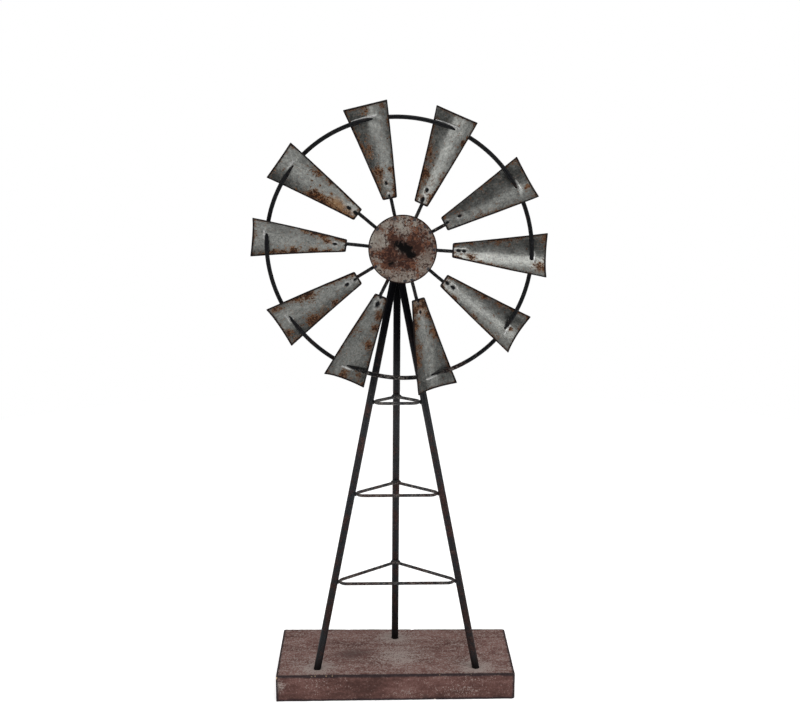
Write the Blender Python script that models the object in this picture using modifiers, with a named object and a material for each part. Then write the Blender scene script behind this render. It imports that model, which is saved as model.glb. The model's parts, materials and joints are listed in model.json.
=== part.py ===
"""Garden windmill: a ten-bladed sheet-metal wheel that turns on a three-legged rod tower.

Metres, +Z up. The origin is under the middle of the block base. The wheel faces -Y, and it
turns about an axis along Y through WHEEL_CENTRE.
"""

import math

import bmesh
import bpy
from mathutils import Matrix, Vector

# ---- fits ----
GAP = 0.0003                      # air left between pieces that touch
MERGE = 0.00001                   # vertices closer than this are one

# ---- block base ----
BASE_SIZE = Vector((0.243, 0.1128, 0.028))
BASE_RIGHT_DEPTH = 0.1076          # the block is sawn less deep at its right-hand end
BASE_EDGE_ROUND = 0.0008
LEG_HOLE_DEPTH = 0.016            # how far each leg goes into the block

# ---- tower ----
LEG_DIAMETER = 0.0073
LEG_FEET = {                      # where each leg enters the top of the block
    "leg_front_left": Vector((-0.080, -0.0392, BASE_SIZE.z)),
    "leg_front_right": Vector((0.0825, -0.0382, BASE_SIZE.z)),
    "leg_back": Vector((0.0005, 0.0335, BASE_SIZE.z)),
}
LEG_NECKS = {                     # where the straight part of each leg ends
    "leg_front_left": Vector((-0.0024, -0.0097, 0.421)),
    "leg_front_right": Vector((0.0064, -0.0097, 0.421)),
    "leg_back": Vector((0.0020, -0.0012, 0.421)),
}
LEG_TOP_OFFSETS = {               # the legs' tops in X from the sleeve's middle, and in Y
    "leg_front_left": (-0.0038, -0.0097),
    "leg_front_right": (0.0038, -0.0097),
    "leg_back": (0.0, -0.0022),
}
LEG_BEND_RADIUS = 0.020
LEG_TOP_BELOW_SLEEVE = 0.0010     # room for the weld between a leg's top and the sleeve

# ---- braces: closed loops of thin rod, bent round three corners ----
BRACE_DIAMETER = 0.0032
BRACE_HEIGHTS = {"brace_lower": 0.1193, "brace_middle": 0.2103, "brace_upper": 0.3037}
BRACE_CORNER_RADIUS = 0.007
BRACE_APEX_RADIUS = 0.005
BRACE_CORNER_BEHIND_LEG = 0.002   # the corner's middle lies this far behind the leg's axis
BRACE_LEAN_ALLOWANCE = 0.0002     # the legs lean, so the loop stands a little further off

# ---- wheel ----
WHEEL_CENTRE = Vector((0.0068, -0.0286, 0.4578))
BLADE_THICKNESS = 0.0008
BLADE_LENGTH = 0.0909
BLADE_ROOT_WIDTH = 0.0150
BLADE_TIP_WIDTH = 0.0460
BLADE_BEND_RADIUS = 0.040         # the sheet is rolled to this radius along its length
BLADE_PITCH = math.radians(26.0)
BLADE_ROOT_INSIDE_RING = 0.0768

# The wheel is hand-made: each spoke, blade and twist is a little off its even place.
SPOKE_ANGLES_DEG = (104.0, 142.0, 176.0, 212.5, 245.5, 287.0, 322.5, 358.5, 31.0, 68.0)
BLADE_LEANS_DEG = (-0.5, 1.5, -3.5, -1.5, -1.0, -6.5, 0.0, -3.0, -2.5, -1.5)
BLADE_TWISTS_DEG = (-6.0, -1.0, 4.0, -11.0, -3.0, 4.0, 4.0, 1.0, -3.0, -1.0)

RING_DIAMETER = 0.0042
RING_RADIUS = 0.1267
RING_SHIFT = 0.0028               # the ring's middle is off the axle by this much
RING_SHIFT_ANGLE = math.radians(192.0)
RING_OVAL = 0.0020                # and the ring is this much longer and shorter than round
RING_OVAL_ANGLE = math.radians(-33.0)
RING_WAVE = 0.0005                # a slight three-sided wave left from bending
RING_WAVE_ANGLE = math.radians(40.0)

SPOKE_DIAMETER = 0.0034
SPOKE_INNER_RADIUS = 0.023
SPOKE_UNDER_BLADE = 0.020

HUB_RADIUS = 0.0333
HUB_DOME = 0.004
HUB_THICKNESS = 0.0012

# ---- axle, in the wheel's own frame, where Y is measured from the ring's plane ----
AXLE_DIAMETER = 0.006
AXLE_HEAD_ACROSS_FLATS = 0.010
AXLE_HEAD_LENGTH = 0.004
WASHER_DIAMETER = 0.012
WASHER_THICKNESS = 0.0012
SLEEVE_DIAMETER = 0.010
SLEEVE_BACK = 0.034               # the sleeve's back end
NUT_ACROSS_FLATS = 0.010
NUT_LENGTH = 0.005
AXLE_BEYOND_NUT = 0.002
BEARING_CLEARANCE = 0.0001        # around the axle in the sleeve that it turns in

# ---- how finely round shapes are divided ----
ROUND_STEPS = 32
CUTTER_STEPS = 24
RING_POINTS = 96
ARC_STEPS = 6
DOME_STEPS = 6
BLADE_STEPS_ACROSS = 12
BLADE_STEPS_ALONG = 3
THIN_ROD_RESOLUTION = 2
THICK_ROD_RESOLUTION = 4

WHEEL_AXIS_TILT = (math.radians(90.0), 0.0, 0.0)   # turns a piece's own +Z to face -Y


def empty_scene():
    for old in list(bpy.data.objects):
        bpy.data.objects.remove(old, do_unlink=True)


def new_collection(name):
    collection = bpy.data.collections.new(name)
    bpy.context.scene.collection.children.link(collection)
    return collection


def new_material(name, colour, roughness, metallic):
    material = bpy.data.materials.new(name)
    material.use_nodes = True
    shader = material.node_tree.nodes["Principled BSDF"]
    shader.inputs["Base Color"].default_value = (*colour, 1.0)
    shader.inputs["Roughness"].default_value = roughness
    shader.inputs["Metallic"].default_value = metallic
    return material


class Workshop:
    """The collections, the wheel's empty and the materials that every piece is made with."""

    def __init__(self):
        self.parts = new_collection("garden_windmill")
        self.cutters = new_collection("cutters")
        self.wheel = bpy.data.objects.new("wheel_axis", None)
        self.wheel.location = WHEEL_CENTRE
        self.wheel.empty_display_size = 0.03
        self.parts.objects.link(self.wheel)
        self.finishes = {
            "wood": ((0.105, 0.042, 0.028), 0.75, 0.0),
            "rod": ((0.030, 0.031, 0.035), 0.55, 0.6),
            "blade": ((0.230, 0.230, 0.225), 0.45, 0.8),
            "hub": ((0.260, 0.190, 0.150), 0.65, 0.4),
            "fastener": ((0.180, 0.170, 0.160), 0.45, 0.8),
        }

    def finish(self, obj, look):
        obj.data.materials.append(new_material(obj.name, *self.finishes[look]))

    def add_part(self, name, data, look, parent=None):
        obj = bpy.data.objects.new(name, data)
        obj.parent = parent
        self.parts.objects.link(obj)
        self.finish(obj, look)
        return obj

    def add_cutter(self, name, data, parent=None):
        obj = bpy.data.objects.new(name, data)
        obj.parent = parent
        obj.hide_render = True
        obj.display_type = "WIRE"
        self.cutters.objects.link(obj)
        return obj


# ---------------------------------------------------------------- shapes

def mesh_from_bmesh(name, shape):
    mesh = bpy.data.meshes.new(name)
    shape.to_mesh(mesh)
    shape.free()
    return mesh


def block_mesh(name, size, right_depth):
    shape = bmesh.new()
    bmesh.ops.create_cube(shape, size=1.0)
    bmesh.ops.scale(shape, vec=size, verts=shape.verts)
    for vert in shape.verts:
        if vert.co.x > 0.0:
            vert.co.y = math.copysign(right_depth / 2.0, vert.co.y)
    return mesh_from_bmesh(name, shape)


def prism_mesh(name, radius, length, sides):
    """A prism or cylinder along Z about the origin."""
    shape = bmesh.new()
    bmesh.ops.create_cone(shape, cap_ends=True, segments=sides, radius1=radius,
                          radius2=radius, depth=length)
    return mesh_from_bmesh(name, shape)


def hexagon_mesh(name, across_flats, length):
    return prism_mesh(name, across_flats / math.sqrt(3.0), length, 6)


def outline_mesh(name, points, closed):
    """A string of edges in the XZ plane, ready to be turned about Z."""
    count = len(points)
    last = count if closed else count - 1
    mesh = bpy.data.meshes.new(name)
    mesh.from_pydata([(x, 0.0, z) for x, z in points],
                     [(i, (i + 1) % count) for i in range(last)], [])
    return mesh


def rod_curve(name, points, diameter, resolution, closed=False):
    curve = bpy.data.curves.new(name, "CURVE")
    curve.dimensions = "3D"
    curve.bevel_depth = diameter / 2.0
    curve.bevel_resolution = resolution
    curve.use_fill_caps = True
    spline = curve.splines.new("POLY")
    spline.points.add(len(points) - 1)
    for control, point in zip(spline.points, points):
        control.co = (*point, 1.0)
    spline.use_cyclic_u = closed
    spline.use_smooth = True
    return curve


def solid_from_curve(obj):
    """Swaps a curve object for a closed mesh object in the same place."""
    bpy.context.view_layer.update()
    evaluated = obj.evaluated_get(bpy.context.evaluated_depsgraph_get())
    mesh = bpy.data.meshes.new_from_object(evaluated)
    shape = bmesh.new()
    shape.from_mesh(mesh)
    bmesh.ops.remove_doubles(shape, verts=shape.verts, dist=MERGE)
    shape.to_mesh(mesh)
    shape.free()
    solid = bpy.data.objects.new(obj.name, mesh)
    solid.parent = obj.parent
    solid.matrix_world = obj.matrix_world.copy()
    solid.hide_render = obj.hide_render
    solid.display_type = obj.display_type
    for collection in obj.users_collection:
        collection.objects.link(solid)
    name = obj.name
    bpy.data.objects.remove(obj, do_unlink=True)
    solid.name = name
    return solid


def turn(obj, steps=ROUND_STEPS):
    screw = obj.modifiers.new("turn", "SCREW")
    screw.axis = "Z"
    screw.angle = 2.0 * math.pi
    screw.steps = steps
    screw.render_steps = steps
    screw.use_merge_vertices = True
    screw.merge_threshold = MERGE


def thicken(obj, thickness):
    solidify = obj.modifiers.new("thickness", "SOLIDIFY")
    solidify.thickness = thickness
    solidify.offset = 0.0
    solidify.use_even_offset = True


def combine(obj, other, operation):
    boolean = obj.modifiers.new(operation.lower(), "BOOLEAN")
    boolean.operation = operation
    boolean.solver = "EXACT"
    boolean.object = other


def fillet(before, corner, after, radius):
    """The points of the arc that rounds one corner of a path."""
    inward = (before - corner).normalized()
    outward = (after - corner).normalized()
    half = inward.angle(outward) / 2.0
    centre = corner + (inward + outward).normalized() * (radius / math.sin(half))
    start = corner + inward * (radius / math.tan(half)) - centre
    end = corner + outward * (radius / math.tan(half)) - centre
    axis = start.cross(end).normalized()
    sweep = start.angle(end)
    return [centre + Matrix.Rotation(sweep * i / ARC_STEPS, 3, axis) @ start
            for i in range(ARC_STEPS + 1)]


def belt(pins, height):
    """The closed path of a rod bent tight round circular pins, anticlockwise from above."""
    points = []
    count = len(pins)
    tangents = []
    for i, (centre, radius) in enumerate(pins):
        other, other_radius = pins[(i + 1) % count]
        along = other - centre
        tangents.append(math.atan2(along.y, along.x)
                        - math.acos((radius - other_radius) / along.length))
    for i, (centre, radius) in enumerate(pins):
        arrive = tangents[i - 1]
        sweep = (tangents[i] - arrive) % (2.0 * math.pi)
        for step in range(ARC_STEPS + 1):
            angle = arrive + sweep * step / ARC_STEPS
            points.append(Vector((centre.x + radius * math.cos(angle),
                                  centre.y + radius * math.sin(angle), height)))
    return points


# ---------------------------------------------------------------- base and tower

def leg_direction(name):
    return (LEG_NECKS[name] - LEG_FEET[name]).normalized()


def leg_axis_at(name, height):
    foot = LEG_FEET[name]
    return foot + (LEG_NECKS[name] - foot) * ((height - foot.z) / (LEG_NECKS[name].z - foot.z))


def make_base(shop):
    base = shop.add_part("base_block", block_mesh("base_block", BASE_SIZE, BASE_RIGHT_DEPTH), "wood")
    base.location.z = BASE_SIZE.z / 2.0
    bevel = base.modifiers.new("worn_edges", "BEVEL")
    bevel.width = BASE_EDGE_ROUND
    bevel.segments = 2
    for name in LEG_FEET:
        hole_length = 2.0 * (LEG_HOLE_DEPTH + GAP)
        hole = prism_mesh(name + "_hole", LEG_DIAMETER / 2.0 + GAP, hole_length, CUTTER_STEPS)
        cutter = shop.add_cutter(name + "_hole", hole)
        cutter.rotation_euler = leg_direction(name).to_track_quat("Z", "Y").to_euler()
        cutter.location = LEG_FEET[name]
        combine(base, cutter, "DIFFERENCE")


def make_legs(shop):
    sleeve_underside = WHEEL_CENTRE.z - SLEEVE_DIAMETER / 2.0
    for name, foot in LEG_FEET.items():
        bottom = foot - leg_direction(name) * LEG_HOLE_DEPTH
        offset_x, top_y = LEG_TOP_OFFSETS[name]
        top = Vector((WHEEL_CENTRE.x + offset_x, top_y, sleeve_underside - LEG_TOP_BELOW_SLEEVE))
        neck = fillet(bottom, LEG_NECKS[name], top, LEG_BEND_RADIUS)
        path = [bottom] + neck + [top]
        shop.add_part(name, rod_curve(name, path, LEG_DIAMETER, THICK_ROD_RESOLUTION), "rod")


def make_braces(shop):
    stand_off = (LEG_DIAMETER + BRACE_DIAMETER) / 2.0 + GAP + BRACE_LEAN_ALLOWANCE
    reach = BRACE_CORNER_RADIUS + stand_off
    inward = math.sqrt(reach ** 2 - BRACE_CORNER_BEHIND_LEG ** 2)
    for name, height in BRACE_HEIGHTS.items():
        left = leg_axis_at("leg_front_left", height)
        right = leg_axis_at("leg_front_right", height)
        back = leg_axis_at("leg_back", height)
        pins = (
            (left + Vector((inward, BRACE_CORNER_BEHIND_LEG, 0.0)), BRACE_CORNER_RADIUS),
            (right + Vector((-inward, BRACE_CORNER_BEHIND_LEG, 0.0)), BRACE_CORNER_RADIUS),
            (back - Vector((0.0, BRACE_APEX_RADIUS + stand_off, 0.0)), BRACE_APEX_RADIUS),
        )
        path = belt(pins, height)
        curve = rod_curve(name, path, BRACE_DIAMETER, THIN_ROD_RESOLUTION, closed=True)
        shop.add_part(name, curve, "rod")


# ---------------------------------------------------------------- wheel

def ring_radius_at(angle):
    """The distance from the axle to the ring, which is off centre and not quite round."""
    shift = RING_SHIFT * math.cos(angle - RING_SHIFT_ANGLE)
    oval = RING_OVAL * math.cos(2.0 * (angle - RING_OVAL_ANGLE))
    wave = RING_WAVE * math.cos(3.0 * (angle - RING_WAVE_ANGLE))
    return RING_RADIUS + shift + oval + wave


def ring_path():
    path = []
    for i in range(RING_POINTS):
        angle = 2.0 * math.pi * i / RING_POINTS
        radius = ring_radius_at(angle)
        path.append(Vector((radius * math.cos(angle), 0.0, radius * math.sin(angle))))
    return path


def make_ring(shop):
    curve = rod_curve("wheel_ring", ring_path(), RING_DIAMETER, THIN_ROD_RESOLUTION, closed=True)
    shop.add_part("wheel_ring", curve, "rod", shop.wheel)
    slit_diameter = RING_DIAMETER + 2.0 * GAP
    slit = rod_curve("ring_slit", ring_path(), slit_diameter, THIN_ROD_RESOLUTION, closed=True)
    return solid_from_curve(shop.add_cutter("ring_slit", slit, shop.wheel))


class BladeFrame:
    """One blade's place: its root, its direction outward and its two cross directions."""

    def __init__(self, index):
        spoke_angle = math.radians(SPOKE_ANGLES_DEG[index])
        blade_angle = spoke_angle + math.radians(BLADE_LEANS_DEG[index])
        pitch = BLADE_PITCH + math.radians(BLADE_TWISTS_DEG[index])
        self.spoke_direction = Vector((math.cos(spoke_angle), 0.0, math.sin(spoke_angle)))
        root_radius = ring_radius_at(spoke_angle) - BLADE_ROOT_INSIDE_RING
        self.root = self.spoke_direction * root_radius
        self.outward = Vector((math.cos(blade_angle), 0.0, math.sin(blade_angle)))
        sideways = Vector((-math.sin(blade_angle), 0.0, math.cos(blade_angle)))
        backward = Vector((0.0, 1.0, 0.0))
        self.across = sideways * math.cos(pitch) + backward * math.sin(pitch)
        self.behind = backward * math.cos(pitch) - sideways * math.sin(pitch)

    def at(self, along, across, behind):
        return self.root + self.outward * along + self.across * across + self.behind * behind


def blade_surface(name, frame):
    """A trapezium of sheet rolled about its length, hollow side to the front."""
    shape = bmesh.new()
    bmesh.ops.create_grid(shape, x_segments=BLADE_STEPS_ALONG, y_segments=BLADE_STEPS_ACROSS,
                          size=0.5)
    for vert in shape.verts:
        share_along = vert.co.x + 0.5
        width = BLADE_ROOT_WIDTH + (BLADE_TIP_WIDTH - BLADE_ROOT_WIDTH) * share_along
        across = width * vert.co.y
        dip = BLADE_BEND_RADIUS - math.sqrt(BLADE_BEND_RADIUS ** 2 - across ** 2)
        vert.co = frame.at(BLADE_LENGTH * share_along, across, -dip)
    return mesh_from_bmesh(name, shape)


def make_blades_and_spokes(shop, ring_slit):
    spoke_depth = (SPOKE_DIAMETER + BLADE_THICKNESS) / 2.0 + GAP
    for index in range(len(SPOKE_ANGLES_DEG)):
        label = f"{index + 1:02d}"
        frame = BladeFrame(index)
        blade_name = "blade_" + label
        surface = blade_surface(blade_name, frame)
        blade = shop.add_part(blade_name, surface, "blade", shop.wheel)
        thicken(blade, BLADE_THICKNESS)
        combine(blade, ring_slit, "DIFFERENCE")
        inner = frame.spoke_direction * SPOKE_INNER_RADIUS + Vector((0.0, spoke_depth, 0.0))
        under_root = frame.at(0.0, 0.0, spoke_depth)
        under_blade = frame.at(SPOKE_UNDER_BLADE, 0.0, spoke_depth)
        spoke_name = "spoke_" + label
        path = [inner, under_root, under_blade]
        spoke = rod_curve(spoke_name, path, SPOKE_DIAMETER, THIN_ROD_RESOLUTION)
        shop.add_part(spoke_name, spoke, "rod", shop.wheel)


def make_hub(shop):
    """A shallow domed disc whose rim lies just in front of the spokes."""
    rim_front = BLADE_THICKNESS / 2.0 - HUB_THICKNESS / 2.0
    curve_radius = (HUB_RADIUS ** 2 + HUB_DOME ** 2) / (2.0 * HUB_DOME)
    half_angle = math.asin(HUB_RADIUS / curve_radius)
    profile = []
    for step in range(DOME_STEPS + 1):
        angle = half_angle * step / DOME_STEPS
        rise = curve_radius * (math.cos(angle) - math.cos(half_angle))
        profile.append((curve_radius * math.sin(angle), rise))
    hub = shop.add_part("hub_disc", outline_mesh("hub_disc", profile, False), "hub", shop.wheel)
    hub.rotation_euler = WHEEL_AXIS_TILT
    hub.location.y = rim_front
    turn(hub)
    thicken(hub, HUB_THICKNESS)
    return rim_front - HUB_DOME + HUB_THICKNESS / 2.0


def ring_profile(inner_radius, outer_radius, length):
    half = length / 2.0
    return [(outer_radius, half), (outer_radius, -half),
            (inner_radius, -half), (inner_radius, half)]


def make_collar(shop, name, outer_diameter, front, length, clearance, parent, centre):
    """A short tube on the wheel's axis, from front backwards."""
    inner_radius = AXLE_DIAMETER / 2.0 + clearance
    profile = ring_profile(inner_radius, outer_diameter / 2.0, length)
    collar = shop.add_part(name, outline_mesh(name, profile, True), "fastener", parent)
    collar.rotation_euler = WHEEL_AXIS_TILT
    collar.location = centre + Vector((0.0, front + length / 2.0, 0.0))
    turn(collar)
    return front + length


def make_axle_set(shop, head_front):
    """The axle's hexagon head is welded in the hub; washers and a nut hold it in the sleeve."""
    head_back = head_front + AXLE_HEAD_LENGTH
    washer_back = make_collar(shop, "front_washer", WASHER_DIAMETER, head_back + GAP,
                              WASHER_THICKNESS, GAP, shop.wheel, Vector())
    sleeve_front = washer_back + GAP
    make_collar(shop, "axle_sleeve", SLEEVE_DIAMETER, sleeve_front,
                SLEEVE_BACK - sleeve_front, BEARING_CLEARANCE, None, WHEEL_CENTRE)
    nut_front = make_collar(shop, "rear_washer", WASHER_DIAMETER, SLEEVE_BACK + GAP,
                            WASHER_THICKNESS, GAP, shop.wheel, Vector()) + GAP
    nut_back = nut_front + NUT_LENGTH

    shank_length = nut_back + AXLE_BEYOND_NUT - head_front
    shank = prism_mesh("axle", AXLE_DIAMETER / 2.0, shank_length, ROUND_STEPS)
    axle = shop.add_part("axle", shank, "fastener", shop.wheel)
    axle.rotation_euler = WHEEL_AXIS_TILT
    axle.location.y = head_front + shank_length / 2.0
    head_mesh = hexagon_mesh("axle_head", AXLE_HEAD_ACROSS_FLATS, AXLE_HEAD_LENGTH)
    head = shop.add_cutter("axle_head", head_mesh, shop.wheel)
    head.rotation_euler = WHEEL_AXIS_TILT
    head.location.y = head_front + AXLE_HEAD_LENGTH / 2.0
    combine(axle, head, "UNION")

    nut = shop.add_part("axle_nut", hexagon_mesh("axle_nut", NUT_ACROSS_FLATS, NUT_LENGTH),
                        "fastener", shop.wheel)
    nut.rotation_euler = WHEEL_AXIS_TILT
    nut.location.y = nut_front + NUT_LENGTH / 2.0
    bore_mesh = prism_mesh("nut_bore", AXLE_DIAMETER / 2.0 + GAP,
                           2.0 * NUT_LENGTH, CUTTER_STEPS)
    bore = shop.add_cutter("nut_bore", bore_mesh, shop.wheel)
    bore.rotation_euler = WHEEL_AXIS_TILT
    bore.location.y = nut.location.y
    combine(nut, bore, "DIFFERENCE")


def shade_round_pieces(shop):
    for obj in shop.parts.objects:
        if obj.type == "MESH":
            obj.data.shade_smooth()
            obj.data.set_sharp_from_angle(angle=math.radians(30.0))


def main():
    empty_scene()
    shop = Workshop()
    make_base(shop)
    make_legs(shop)
    make_braces(shop)
    ring_slit = make_ring(shop)
    make_blades_and_spokes(shop, ring_slit)
    hub_back = make_hub(shop)
    make_axle_set(shop, hub_back + GAP)
    shade_round_pieces(shop)


main()
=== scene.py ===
"""Garden windmill: the visual model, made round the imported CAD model.

Metres, +Z up. The wheel faces -Y. Pieces ride on the two CAD bodies: "stand" and "wheel".
"""

import json
import math

import bmesh
import bpy
from mathutils import Matrix, Vector, noise


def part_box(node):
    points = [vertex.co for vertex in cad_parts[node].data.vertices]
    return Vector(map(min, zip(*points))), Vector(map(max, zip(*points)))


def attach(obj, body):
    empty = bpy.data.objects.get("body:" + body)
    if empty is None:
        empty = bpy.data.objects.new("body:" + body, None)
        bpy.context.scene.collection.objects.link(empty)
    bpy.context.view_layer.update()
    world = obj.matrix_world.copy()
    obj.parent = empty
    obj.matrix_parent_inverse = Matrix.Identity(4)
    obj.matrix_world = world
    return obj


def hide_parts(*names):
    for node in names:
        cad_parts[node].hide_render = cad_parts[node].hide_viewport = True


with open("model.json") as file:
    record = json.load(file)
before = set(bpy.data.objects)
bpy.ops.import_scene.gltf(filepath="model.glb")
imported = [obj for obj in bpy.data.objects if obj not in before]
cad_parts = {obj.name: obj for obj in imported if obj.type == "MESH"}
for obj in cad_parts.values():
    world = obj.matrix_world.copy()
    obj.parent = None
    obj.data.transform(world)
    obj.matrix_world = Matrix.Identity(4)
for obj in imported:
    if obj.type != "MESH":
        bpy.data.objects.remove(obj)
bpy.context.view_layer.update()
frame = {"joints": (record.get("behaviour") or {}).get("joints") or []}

MM = 0.001
UP = Vector((0.0, 0.0, 1.0))
BACKWARD = Vector((0.0, 1.0, 0.0))

# ---- camera ----
CAMERA_PLACE = Vector((-0.0174, -1.1959, 0.5966))
CAMERA_YAW = math.radians(1.07)
CAMERA_PITCH = math.radians(11.98)
CAMERA_ROLL = math.radians(0.09)
CAMERA_LENS = 54.77
CAMERA_SENSOR = 36.0

# ---- floor ----
FLOOR_RADIUS = 1.3
FLOOR_GLOW = 0.46

# ---- base ----
BASE_LOW, BASE_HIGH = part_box("base_block")
BASE_RIGHT_DEPTH = 0.1076

# ---- tower ----
GAP = 0.0003
LEG_DIAMETER = 0.0073
LEG_HOLE_DEPTH = 0.016
LEG_FEET = {
    "leg_front_left": Vector((-0.080, -0.0392, BASE_HIGH.z)),
    "leg_front_right": Vector((0.0825, -0.0382, BASE_HIGH.z)),
    "leg_back": Vector((0.0005, 0.0335, BASE_HIGH.z)),
}
LEG_NECKS = {
    "leg_front_left": Vector((-0.0024, -0.0097, 0.421)),
    "leg_front_right": Vector((0.0064, -0.0097, 0.421)),
    "leg_back": Vector((0.0020, -0.0012, 0.421)),
}
LEG_TOP_OFFSETS = {
    "leg_front_left": (-0.0038, -0.0097),
    "leg_front_right": (0.0038, -0.0097),
    "leg_back": (0.0, -0.0022),
}
LEG_BEND_RADIUS = 0.020
LEG_TOP_BELOW_SLEEVE = 0.0010
BRACE_DIAMETER = 0.0032
BRACE_HEIGHTS = {"brace_lower": 0.1193, "brace_middle": 0.2103, "brace_upper": 0.3037}
BRACE_CORNER_RADIUS = 0.007
BRACE_APEX_RADIUS = 0.005
BRACE_CORNER_BEHIND_LEG = 0.002
BRACE_LEAN_ALLOWANCE = 0.0002

# ---- wheel ----
WHEEL_CENTRE = Vector(frame["joints"][0]["pos_m"])
BLADE_THICKNESS = 0.0008
BLADE_LENGTH = 0.0909
BLADE_ROOT_WIDTH = 0.0150
BLADE_TIP_WIDTH = 0.0460
BLADE_BEND_RADIUS = 0.040
BLADE_PITCH = math.radians(26.0)
BLADE_ROOT_INSIDE_RING = 0.0768
SPOKE_ANGLES_DEG = (104.0, 142.0, 176.0, 212.5, 245.5, 287.0, 322.5, 358.5, 31.0, 68.0)
BLADE_LEANS_DEG = (-0.5, 1.5, -3.5, -1.5, -1.0, -6.5, 0.0, -3.0, -2.5, -1.5)
BLADE_TWISTS_DEG = (-6.0, -1.0, 4.0, -11.0, -3.0, 4.0, 4.0, 1.0, -3.0, -1.0)
RING_DIAMETER = 0.0042
RING_RADIUS = 0.1267
RING_SHIFT = 0.0028
RING_SHIFT_ANGLE = math.radians(192.0)
RING_OVAL = 0.0020
RING_OVAL_ANGLE = math.radians(-33.0)
RING_WAVE = 0.0005
RING_WAVE_ANGLE = math.radians(40.0)
SPOKE_DIAMETER = 0.0034
SPOKE_INNER_RADIUS = 0.023
SPOKE_UNDER_BLADE = 0.020
SPOKE_DEPTH = (SPOKE_DIAMETER + BLADE_THICKNESS) / 2.0 + GAP
HUB_RADIUS = 0.0333
HUB_DOME = 0.004
HUB_THICKNESS = 0.0012
AXLE_DIAMETER = 0.006
SLEEVE_DIAMETER = 0.010
SLEEVE_FRONT = 0.0025
SLEEVE_BACK = 0.034

# Rust patches on each blade: share of the length from the root, share of the half width
# (+1 is the anticlockwise edge seen from the front), radius in millimetres, strength.
RUST_PATCHES = (
    ((0.30, 0.4, 5, 0.7), (0.55, 0.8, 7, 0.6), (0.95, 0.2, 5, 0.5), (0.95, -0.7, 4, 0.5),
     (0.10, -0.8, 3, 0.6), (0.30, -0.6, 2, 0.8)),
    ((0.50, 0.7, 6, 0.8), (0.40, 0.8, 6, 0.6), (0.15, 1.0, 4, 0.5), (0.60, -0.7, 5, 0.6),
     (0.45, -0.8, 4, 0.6), (0.60, 0.0, 1, 1.0), (0.50, -0.1, 1, 1.0), (0.35, -0.1, 1, 1.0)),
    ((0.45, -0.8, 3, 0.8), (0.25, -0.8, 4, 0.8), (0.20, -0.2, 3, 0.8), (0.55, 0.8, 5, 0.8),
     (1.00, 0.1, 4, 0.6), (0.75, 0.8, 3, 0.6), (0.05, -0.7, 3, 0.7), (0.35, 0.9, 4, 0.9),
     (0.20, 0.9, 3, 0.8), (0.65, 0.9, 4, 0.8), (0.35, -0.9, 4, 0.9), (0.10, -0.9, 3, 0.8)),
    ((0.55, -0.7, 6, 0.8), (0.65, -0.8, 5, 0.7), (0.90, -0.8, 5, 0.7), (0.95, 0.5, 4, 0.7),
     (0.65, 0.7, 6, 0.8), (0.35, 0.8, 4, 0.7)),
    ((0.20, 0.6, 4, 0.8), (0.35, 0.6, 3, 0.9), (0.55, 0.6, 4, 0.9), (0.45, -0.6, 4, 0.4),
     (0.95, 0.0, 5, 0.7), (0.90, 0.6, 4, 0.6)),
    ((0.05, 0.3, 7, 0.7), (0.25, -0.8, 5, 0.8), (0.40, 0.8, 5, 0.8), (0.50, -0.6, 5, 0.5),
     (0.65, -0.8, 6, 0.6), (0.10, -0.5, 5, 0.6), (0.20, 0.8, 4, 0.8)),
    ((0.20, -0.8, 3, 0.8), (0.50, -0.8, 4, 0.6), (0.80, -0.8, 3, 0.5), (0.45, 0.8, 4, 0.6),
     (0.65, 0.9, 4, 0.6), (0.90, 0.1, 2, 0.9)),
    ((0.60, 1.0, 5, 0.6), (0.50, 0.8, 4, 0.5), (0.95, 0.8, 4, 0.6), (0.95, -0.5, 6, 0.7),
     (0.20, -0.5, 4, 0.6), (0.30, -0.8, 3, 0.6)),
    ((0.95, -0.3, 3, 0.7), (1.00, -0.8, 4, 0.6), (0.55, -1.0, 4, 0.6), (0.20, 0.3, 3, 0.4),
     (0.35, -0.7, 4, 0.4)),
    ((0.50, 0.8, 7, 0.6), (0.30, 0.7, 6, 0.7), (0.75, -0.8, 3, 0.7), (1.00, 0.1, 4, 0.5),
     (0.35, -0.7, 4, 0.5), (0.10, -0.6, 4, 0.5)),
)
# Brown stains that have run over the sheet: the same four numbers as a rust patch.
STAIN_PATCHES = (
    ((0.22, 0.6, 6, 0.8), (0.10, 0.5, 5, 0.5)),
    ((0.42, 0.8, 8, 1.0), (0.25, 0.7, 9, 1.5), (0.08, 0.8, 7, 1.5)),
    ((0.24, -0.6, 7, 0.7), (0.34, 0.8, 6, 0.6)),
    ((0.60, -0.8, 8, 0.5), (0.50, 0.7, 6, 0.5)),
    ((0.40, 0.7, 7, 0.4),),
    ((0.10, 0.2, 7, 0.9), (0.60, -0.8, 7, 0.5)),
    ((0.45, 0.8, 5, 0.3),),
    ((0.20, -0.6, 5, 0.5),),
    ((0.50, -0.8, 6, 0.4),),
    ((0.22, 0.7, 8, 0.6), (0.06, 0.4, 5, 0.5)),
)
# The two spot welds of each blade: millimetres from its root, and how big.
SPOT_WELDS = (
    ((3.0, 0.8), (15.5, 1.0)), ((3.0, 1.5), (11.0, 1.3)), ((0.5, 1.0), (11.5, 1.2)),
    ((3.5, 1.0), (13.0, 1.15)), ((1.0, 1.2), (9.0, 1.6)), ((2.0, 1.0), (13.5, 0.9)),
    ((4.5, 1.35), (11.5, 1.35)), ((6.0, 1.1), (11.5, 1.1)), ((3.5, 1.1), (16.5, 1.1)),
    ((4.5, 1.5), (14.5, 1.2)),
)
# How orange the rust of each blade is.
RUST_WARMTHS = (1.15, 1.3, 1.2, 0.55, 0.4, 0.6, 0.5, 0.5, 0.6, 0.7)
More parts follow.
